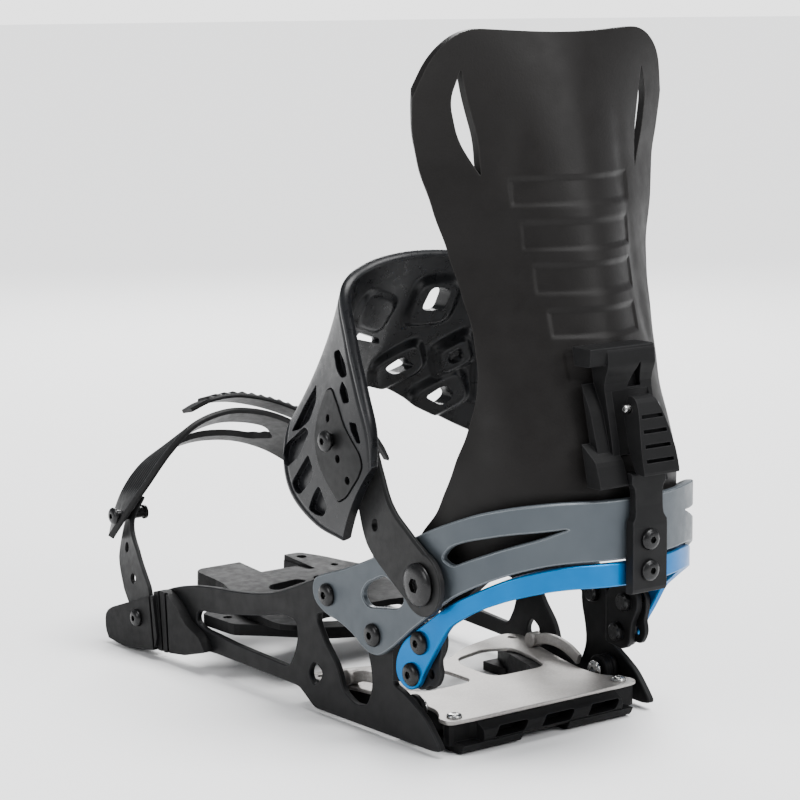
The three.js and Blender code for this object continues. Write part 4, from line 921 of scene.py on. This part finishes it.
# ---------------- ankle strap
def curve(points):
    """Catmull-Rom curve through points, evaluated for an array of parameters from 0 to 1."""
    p = np.asarray(points, float)
    ext = np.concatenate([[2 * p[0] - p[1]], p, [2 * p[-1] - p[-2]]])
    last = len(p) - 1

    def at(t):
        t = np.clip(np.asarray(t, float), 0, 1) * last
        i = np.minimum(t.astype(int), last - 1)
        f = (t - i)[..., None]
        q0, q1, q2, q3 = ext[i], ext[i + 1], ext[i + 2], ext[i + 3]
        d = [np.maximum(np.linalg.norm(b - a, axis=-1, keepdims=True), 1e-6) ** 0.5
             for a, b in ((q0, q1), (q1, q2), (q2, q3))]
        t1 = ((q1 - q0) / d[0] - (q2 - q0) / (d[0] + d[1]) + (q2 - q1) / d[1]) * d[1]
        t2 = ((q2 - q1) / d[1] - (q3 - q1) / (d[1] + d[2]) + (q3 - q2) / d[2]) * d[1]
        return (q1 + f * t1 + f * f * (-3 * q1 + 3 * q2 - 2 * t1 - t2)
                + f ** 3 * (2 * q1 - 2 * q2 + t1 + t2))
    return at


def shell_surface(front, rear, bulge, focus_y, pinch=0.0):
    """Surface between two edge curves given from left to right, run from right to left."""
    a, b = curve(front[::-1]), curve(rear[::-1])

    def at(u, v):
        w = np.asarray(v, float)[..., None]
        p = a(u) * (1 - w) + b(u) * w
        out = p - np.array([0, focus_y, 0])
        out[..., 2] = 0
        out /= np.maximum(np.linalg.norm(out, axis=-1, keepdims=True), 1e-9)
        waist = pinch * np.exp(-((u - 0.7) / 0.13) ** 2)
        return p + out * ((bulge - waist) * 4 * v * (1 - v))[..., None]
    return at


def ribbon_surface(stations):
    """Strap surface through stations (x, y, z, width, across x, y, z)."""
    s = np.array(stations, float)
    centre, across = curve(s[:, :3]), curve(s[:, 4:7])

    def at(u, v):
        w = across(u)
        w /= np.linalg.norm(w, axis=-1, keepdims=True)
        width = np.interp(u * (len(s) - 1), np.arange(len(s)), s[:, 3])
        return centre(u) + w * ((v - 0.5) * width)[..., None]
    return at


PAD_FRONT = [
    (-60.5, 54, 80), (-61.5, 73, 83.5), (-61.5, 91, 93.5), (-58, 100.5, 106), (-51.5, 104, 118),
    (-37, 95, 127),
    (-18, 97, 132), (5, 97, 121), (28, 94, 109), (50, 85, 99), (61, 72, 92), (62.5, 58, 93), (62, 46, 99)]
PAD_REAR = [
    (-61.5, 33, 113), (-62, 32, 127), (-62.5, 37, 143), (-61.5, 46, 163), (-58.5, 54, 181), (-45, 59, 188),
    (-25, 60, 191), (0, 59, 190), (25, 57, 186), (45, 51, 174), (57, 42, 158), (62, 33, 141), (62, 26, 127)]
PAD_T = 4.5
PAD_SCREW = (57.5, 120.3)
PLATE_HOLES = ((52.2, 113.6), (45.6, 105.8), (61.4, 128.6))
PAD_POCKETS = (
    [(78, 140, 1.5), (88, 130, 3), (97, 117.5, 2), (88, 120, 2), (79.5, 125, 2), (76, 133, 2)],
    [(101, 111.5, 2), (83.5, 122, 3), (78.5, 120.5, 2), (84, 110, 3), (95, 103, 3), (100.5, 106, 2)],
    [(89, 98, 2), (80.4, 107.7, 3), (76.5, 111.8, 2), (71.5, 106.4, 2), (72, 102, 2), (82, 94, 3),
     (86.5, 95, 2)],
    [(76, 89, 2), (71.2, 96.5, 3), (67.1, 100.5, 2), (61.2, 92.5, 2), (64.6, 88, 2), (69.7, 87.5, 2)],
    [(53.9, 140.8, 1.5), (51.7, 145.2, 1.5), (46.7, 141.8, 1.5), (44.9, 137.2, 1.5), (50, 136, 1.5)],
    [(45, 129.5, 1), (40, 129.5, 1), (37.2, 121.8, 1), (39.9, 121.6, 1), (43.5, 125.7, 1)],
    [(62, 155, 2), (56, 157, 1.5), (49.5, 152.7, 2), (47.2, 147.5, 1.5), (52.5, 145.8, 2), (58.4, 149, 2)],
)
PAD_WINDOWS = (
    [(-11, 166.5, 3), (0, 165.5, 3), (0, 175.5, 3), (-10, 176.8, 3)],
    [(-18, 140.8, 2), (-12, 137, 3), (-4, 141, 2), (-11, 146, 3)],
    [(5, 126, 2), (14, 121, 3), (18, 126, 3), (12.5, 131.5, 3)],
    [(-42, 157, 1), (-24, 152.5, 1), (-25, 154.8, 1), (-40, 159.5, 1)],
)
LENS = [
    (60.5, 140.5, 2), (66, 139, 3), (71, 130, 4), (72.5, 121, 4), (68, 110.5, 6), (61, 103, 6), (53, 96, 2),
    (47, 99, 3), (39, 108, 2), (36.5, 113, 2), (38, 117.5, 2), (48, 127, 3), (54, 134.5, 3)]
LENS_CENTRE = (55.0, 118.0)
PAD = shell_surface(PAD_FRONT, PAD_REAR, 1.5, 30, 4.5)


def edge_drop(v, width, radius):
    """How far a rounded edge falls below the face, from the place across the width."""
    d = np.minimum(v, 1 - v) * width
    k = np.clip(1 - d / radius, 0, 1)
    return radius * (1 - np.sqrt(1 - k * k))


def bar_x(p, r, x0, x1, sides=28):
    return prism(ring(p[0], p[1], r, sides), "x", x0, x1)


def lens_outline(scale):
    return ccw(rounded([(LENS_CENTRE[0] + (y - LENS_CENTRE[0]) * scale,
                         LENS_CENTRE[1] + (z - LENS_CENTRE[1]) * scale, r) for y, z, r in LENS], 10))


def keep_common(outline, layer):
    """The part of a thin layer inside an outline seen from the side, as a tool object."""
    return as_object(boolean(prism(outline, "x", -100, -40), [layer], "INTERSECT"))


def soft_box(p, x, z, a, b, turn=0.0):
    """0 in the middle and 1 on the rounded-square border, for places on the instep part."""
    c, s = math.cos(turn), math.sin(turn)
    dx, dz = p[..., 0] - x, p[..., 2] - z
    q, r = np.abs(dx * c + dz * s) / a, np.abs(dz * c - dx * s) / b
    return (q ** 4 + r ** 4) ** 0.25


def ankle_pad():
    length = 70.0
    lumps = (   # x, z, half width, half height, turn, rise
        (-5.5, 170.5, 12.5, 12, 0.0, 2.4), (-11.5, 141.5, 13.5, 9.5, 0.5, 2.4),
        (12, 126.5, 13.5, 10.5, 0.5, 2.4), (-35, 168, 13, 9, -0.3, 1.3),
        (13, 145.5, 11, 10, 0.5, 1.8), (32, 136, 9, 16, 0.2, 1.6))

    def outer(u, v, p):
        rim = 0.5 * np.exp(-((np.minimum(v, 1 - v) * length - 3.4) / 0.6) ** 2)
        return PAD_T - edge_drop(v, length, 1.5) - rim

    def inner(u, v, p):
        """The foot side is padded out around the openings and over a square nut pocket."""
        arch = (p[..., 1] > 40) & (u < 0.8)
        rise = np.zeros(u.shape)
        for x, z, a, b, turn, high in lumps:
            q = soft_box(p, x, z, a, b, turn)
            rise = np.maximum(rise, high * (1 - smoothstep(q, 0.72, 1.0)))
        q = soft_box(p, 13, 145.5, 7, 6.5, 0.5)
        rise += 1.2 * (1 - smoothstep(q, 0.9, 1.04)) - 2.0 * (1 - smoothstep(q, 0.34, 0.42))
        return edge_drop(v, length, 1.2) - rise * arch

    v, f = grid_solid(PAD, 330, 110, outer, inner)
    tools = [prism(ccw(rounded(w, 6)), "y", 40, 130) for w in PAD_WINDOWS]
    above = grid_solid(PAD, 120, 40, 30, 1.5)
    for pocket in PAD_POCKETS:
        tools.append(keep_common(ccw(rounded(pocket, 7)), above))
    tools.append(keep_common(lens_outline(1.03), grid_solid(PAD, 200, 70, 30, PAD_T - 1.4)))
    tools.append(bar_x(PAD_SCREW, HOLE, -90, -50))
    stand_for("ankle_pad", boolean((v, f), tools), sharp=40)


def ankle_plate():
    layer = grid_solid(PAD, 200, 60, PAD_T + 0.5, PAD_T - 1.2)
    tools = [bar_x(p, 1.7, -90, -50) for p in PLATE_HOLES] + [bar_x(PAD_SCREW, HOLE, -90, -50)]
    stand_for("ankle_plate", boolean(keep_common(lens_outline(1.0), layer), tools), sharp=35)


SAW_RISE = 0.86   # share of a tooth's length that rises; the rest falls back


def strap_solid(stations, nu, thick, ladder=None, edge=0.9, nv=24):
    """Strap with rounded long edges; ladder = (start, end, teeth, height) adds saw teeth."""
    at = ribbon_surface(stations)
    widths = [station[3] for station in stations]

    def width(u):
        return np.interp(u * (len(widths) - 1), np.arange(len(widths)), widths)

    def outer(u, v, p):
        t = thick - edge_drop(v, width(u), edge)
        if ladder:
            start, end, teeth, height = ladder
            k = (u - start) / (end - start) * teeth
            saw = k - np.floor(k)
            saw = np.where(saw < SAW_RISE, saw / SAW_RISE, (1 - saw) / (1 - SAW_RISE))
            side = smoothstep(np.minimum(v, 1 - v) * width(u), 1.6, 2.3)
            t = t + np.where((u > start) & (u < end), height * saw * side, 0)
        return t

    def inner(u, v, p):
        return edge_drop(v, width(u), edge * 0.7)

    return grid_solid(at, nu, nv, outer, inner)


ANKLE_LEFT = [
    (-60.6, 3, 70.5, 25, 0, 0.58, -0.81), (-61, 18, 80, 25, 0, 0.6, -0.8),
    (-61.1, 30, 89, 25, 0, 0.67, -0.74),
    (-57.4, 42, 102, 22, 0, 0.75, -0.66), (-55.2, 51, 117, 19, 0, 0.83, -0.55),
    (-54.8, 58, 131, 15, 0, 0.85, -0.5)]
ANKLE_RIGHT = [
    (60.6, 3, 70.5, 25, 0, -0.58, 0.81), (61.4, 19, 80, 24, 0, -0.6, 0.8), (67, 33, 91, 20, 0, -0.6, 0.8),
    (72.2, 46, 104, 18, 0, -0.68, 0.73), (74.4, 57, 118, 18, 0, -0.75, 0.66),
    (74.2, 66, 132, 18, 0, -0.8, 0.6),
    (71.5, 73, 146, 15, 0, -0.8, 0.6)]


def disc(radius, x0, x1, edge=0.5):
    """Flat disc with rounded rims about x."""
    return lathe([(0, x0), (radius - edge, x0), (radius, x0 + edge), (radius, x1 - edge),
                  (radius - edge, x1), (0, x1)], 56)


def shifted(solid, y, z):
    v = solid[0].copy()
    v[:, 1] += y
    v[:, 2] += z
    return v, solid[1]


def joined(first, others):
    return as_object(boolean(first, others, "UNION"))


def ankle_straps():
    left = joined(strap_solid(ANKLE_LEFT, 150, 2.8), [shifted(disc(12.8, -63.4, -60.6), *PIVOT)])
    cuts = [bar_x(PIVOT, PIVOT_HOLE, -70, -50), bar_x(PAD_SCREW, HOLE, -80, -50),
            bar_x((33, 89.5), 2.6, -80, -50)]
    stand_for("ankle_strap_left", boolean(left, cuts))
    right = joined(strap_solid(ANKLE_RIGHT, 420, 2.4, (0.45, 0.95, 16, 1.4)),
                   [shifted(disc(12.8, 60.6, 63.4), *PIVOT)])
    stand_for("ankle_ladder", boolean(right, [bar_x(PIVOT, PIVOT_HOLE, 50, 70)]))


# ---------------- toe strap
CAP_FRONT = [
    (-62, 247, 47), (-61, 243, 60), (-58, 240, 70), (-51, 238, 79), (-40, 238, 85), (-26, 239, 88),
    (-12, 239, 88), (2, 239, 85.5), (16, 237, 80), (27, 231, 72), (35, 226, 64)]
CAP_REAR = [
    (-70, 234, 49), (-68, 222, 62), (-63, 212, 76), (-54, 205, 92), (-42, 203.5, 102.5), (-26, 203, 107),
    (-10, 203, 105.5), (6, 203.5, 100), (20, 206, 91.5), (31, 208, 80), (38, 210, 69)]
CAP_WINDOW = [(-42, 214.5, 4), (2, 214.5, 4), (12, 223, 3), (4, 232, 4), (-44, 232.5, 4)]
CAP_EYE = [(17, 221, 1), (22, 217, 1), (27, 220, 1), (22, 225, 1)]
CAP_SCREW = (229.0, 61.0)
TOE_SPARE_HOLES = ((227, 46), (219, 33))
TOE_LEFT = [
    (-66.3, 211, 17, 18, -0.044, 0.98, -0.2), (-66.6, 216.5, 29, 24, -0.02, 0.98, -0.2),
    (-65.2, 225.5, 43, 23, 0.1, 0.95, -0.3), (-61.8, 230.5, 57, 15, 0.3, 0.92, -0.25),
    (-57.2, 229.5, 67, 13, 0.2, 0.93, -0.3)]
TOE_LEFT_T = 2.2   # 0.2 mm under the CAD strap, so that its rear edge clears the mount when swung back
TOE_RIGHT = [
    (66.3, 210, 17, 16, -0.044, -0.98, 0.2), (66.7, 214, 29, 17, -0.04, -0.98, 0.2),
    (64.5, 215.5, 44, 16, 0.1, -0.97, 0.15), (61.2, 214.5, 58, 15, 0.1, -0.98, 0.1),
    (54.8, 213, 70.5, 14, 0.05, -0.99, 0.05), (47.5, 213, 79, 14, 0, -1, 0), (40, 213, 86, 14, 0, -1, 0),
    (26, 212.5, 96, 14, 0.1, -0.98, 0.15), (12, 212, 103, 14, 0.05, -0.96, 0.25),
    (-3, 212.5, 108.5, 14, 0, -0.95, 0.3), (-18, 214, 111.5, 15, 0, -0.95, 0.28),
    (-30, 216, 110.5, 14, 0, -0.95, 0.25), (-38, 218, 107, 9, 0, -0.95, 0.2)]


def on_plate(solid, side):
    """Moves a solid drawn outwards from the side plate (x, y, z) onto one side."""
    v = solid[0]
    return on_side(side, v[:, 1], v[:, 2], v[:, 0]), solid[1]


def toe_straps():
    cap = shell_surface(CAP_FRONT, CAP_REAR, 0, 225)
    length = 40.0

    def outer(u, v, p):
        rib = 0.35 * (0.5 + 0.5 * np.cos(v * 2 * np.pi * 9)) * smoothstep(np.minimum(v, 1 - v), 0.06, 0.1)
        return 3 - edge_drop(v, length, 1.3) - rib * smoothstep(np.minimum(u, 1 - u), 0.16, 0.2)

    shell = grid_solid(cap, 240, 60, outer, lambda u, v, p: edge_drop(v, length, 0.9))
    tools = [prism(ccw(rounded(w, 6)), "z", 60, 140) for w in (CAP_WINDOW, CAP_EYE)]
    tools.append(bar_x(CAP_SCREW, HOLE, -90, -50))
    stand_for("toe_cap", boolean(shell, tools), sharp=45)
    end = on_plate(shifted(disc(8, 2.3, 4.8), *TOE_SCREW), -1)
    bore = on_plate(bar_x(TOE_SCREW, HOLE, -5, 15), -1)
    cuts = [bar_x(p, 2.4, -80, -50) for p in TOE_SPARE_HOLES] + [bar_x(CAP_SCREW, HOLE, -90, -50)]
    left = joined(as_object(boolean(strap_solid(TOE_LEFT, 120, TOE_LEFT_T), cuts)), [end])
    stand_for("toe_strap_left", boolean(left, [bore]))
    end = on_plate(shifted(disc(8, 2.3, 4.8), *TOE_SCREW), 1)
    bore = on_plate(bar_x(TOE_SCREW, HOLE, -5, 15), 1)
    right = joined(strap_solid(TOE_RIGHT, 640, 2.0, (0.5, 0.92, 16, 1.3), 0.8, 20), [end])
    stand_for("toe_ladder", boolean(right, [bore]))


# ---------------- pieces kept from the CAD
def keep_cad():
    """Materials, merged coplanar faces and small bevels for the nodes that keep their CAD mesh."""
    for name, o in nodes.items():
        if name in done:
            continue
        for slot in o.material_slots:
            slot.material = MATERIALS[SLOT_OF[name]]
        m = o.modifiers.new("weld", "WELD")
        m.merge_threshold = 0.00001
        m = o.modifiers.new("planar", "DECIMATE")
        m.decimate_type = "DISSOLVE"
        m.angle_limit = math.radians(1.5)
        m = o.modifiers.new("edges", "BEVEL")
        m.width = 0.0004
        m.segments = 2
        m.limit_method = "ANGLE"
        m.angle_limit = math.radians(35)
        weighted_normals(o)


camera()
studio()
side_plates()
adjuster_plates()
heel_loops()
screws()
heel_plate()
barrels()
latch_links()
highback()
ankle_pad()
ankle_plate()
ankle_straps()
toe_straps()
keep_cad()
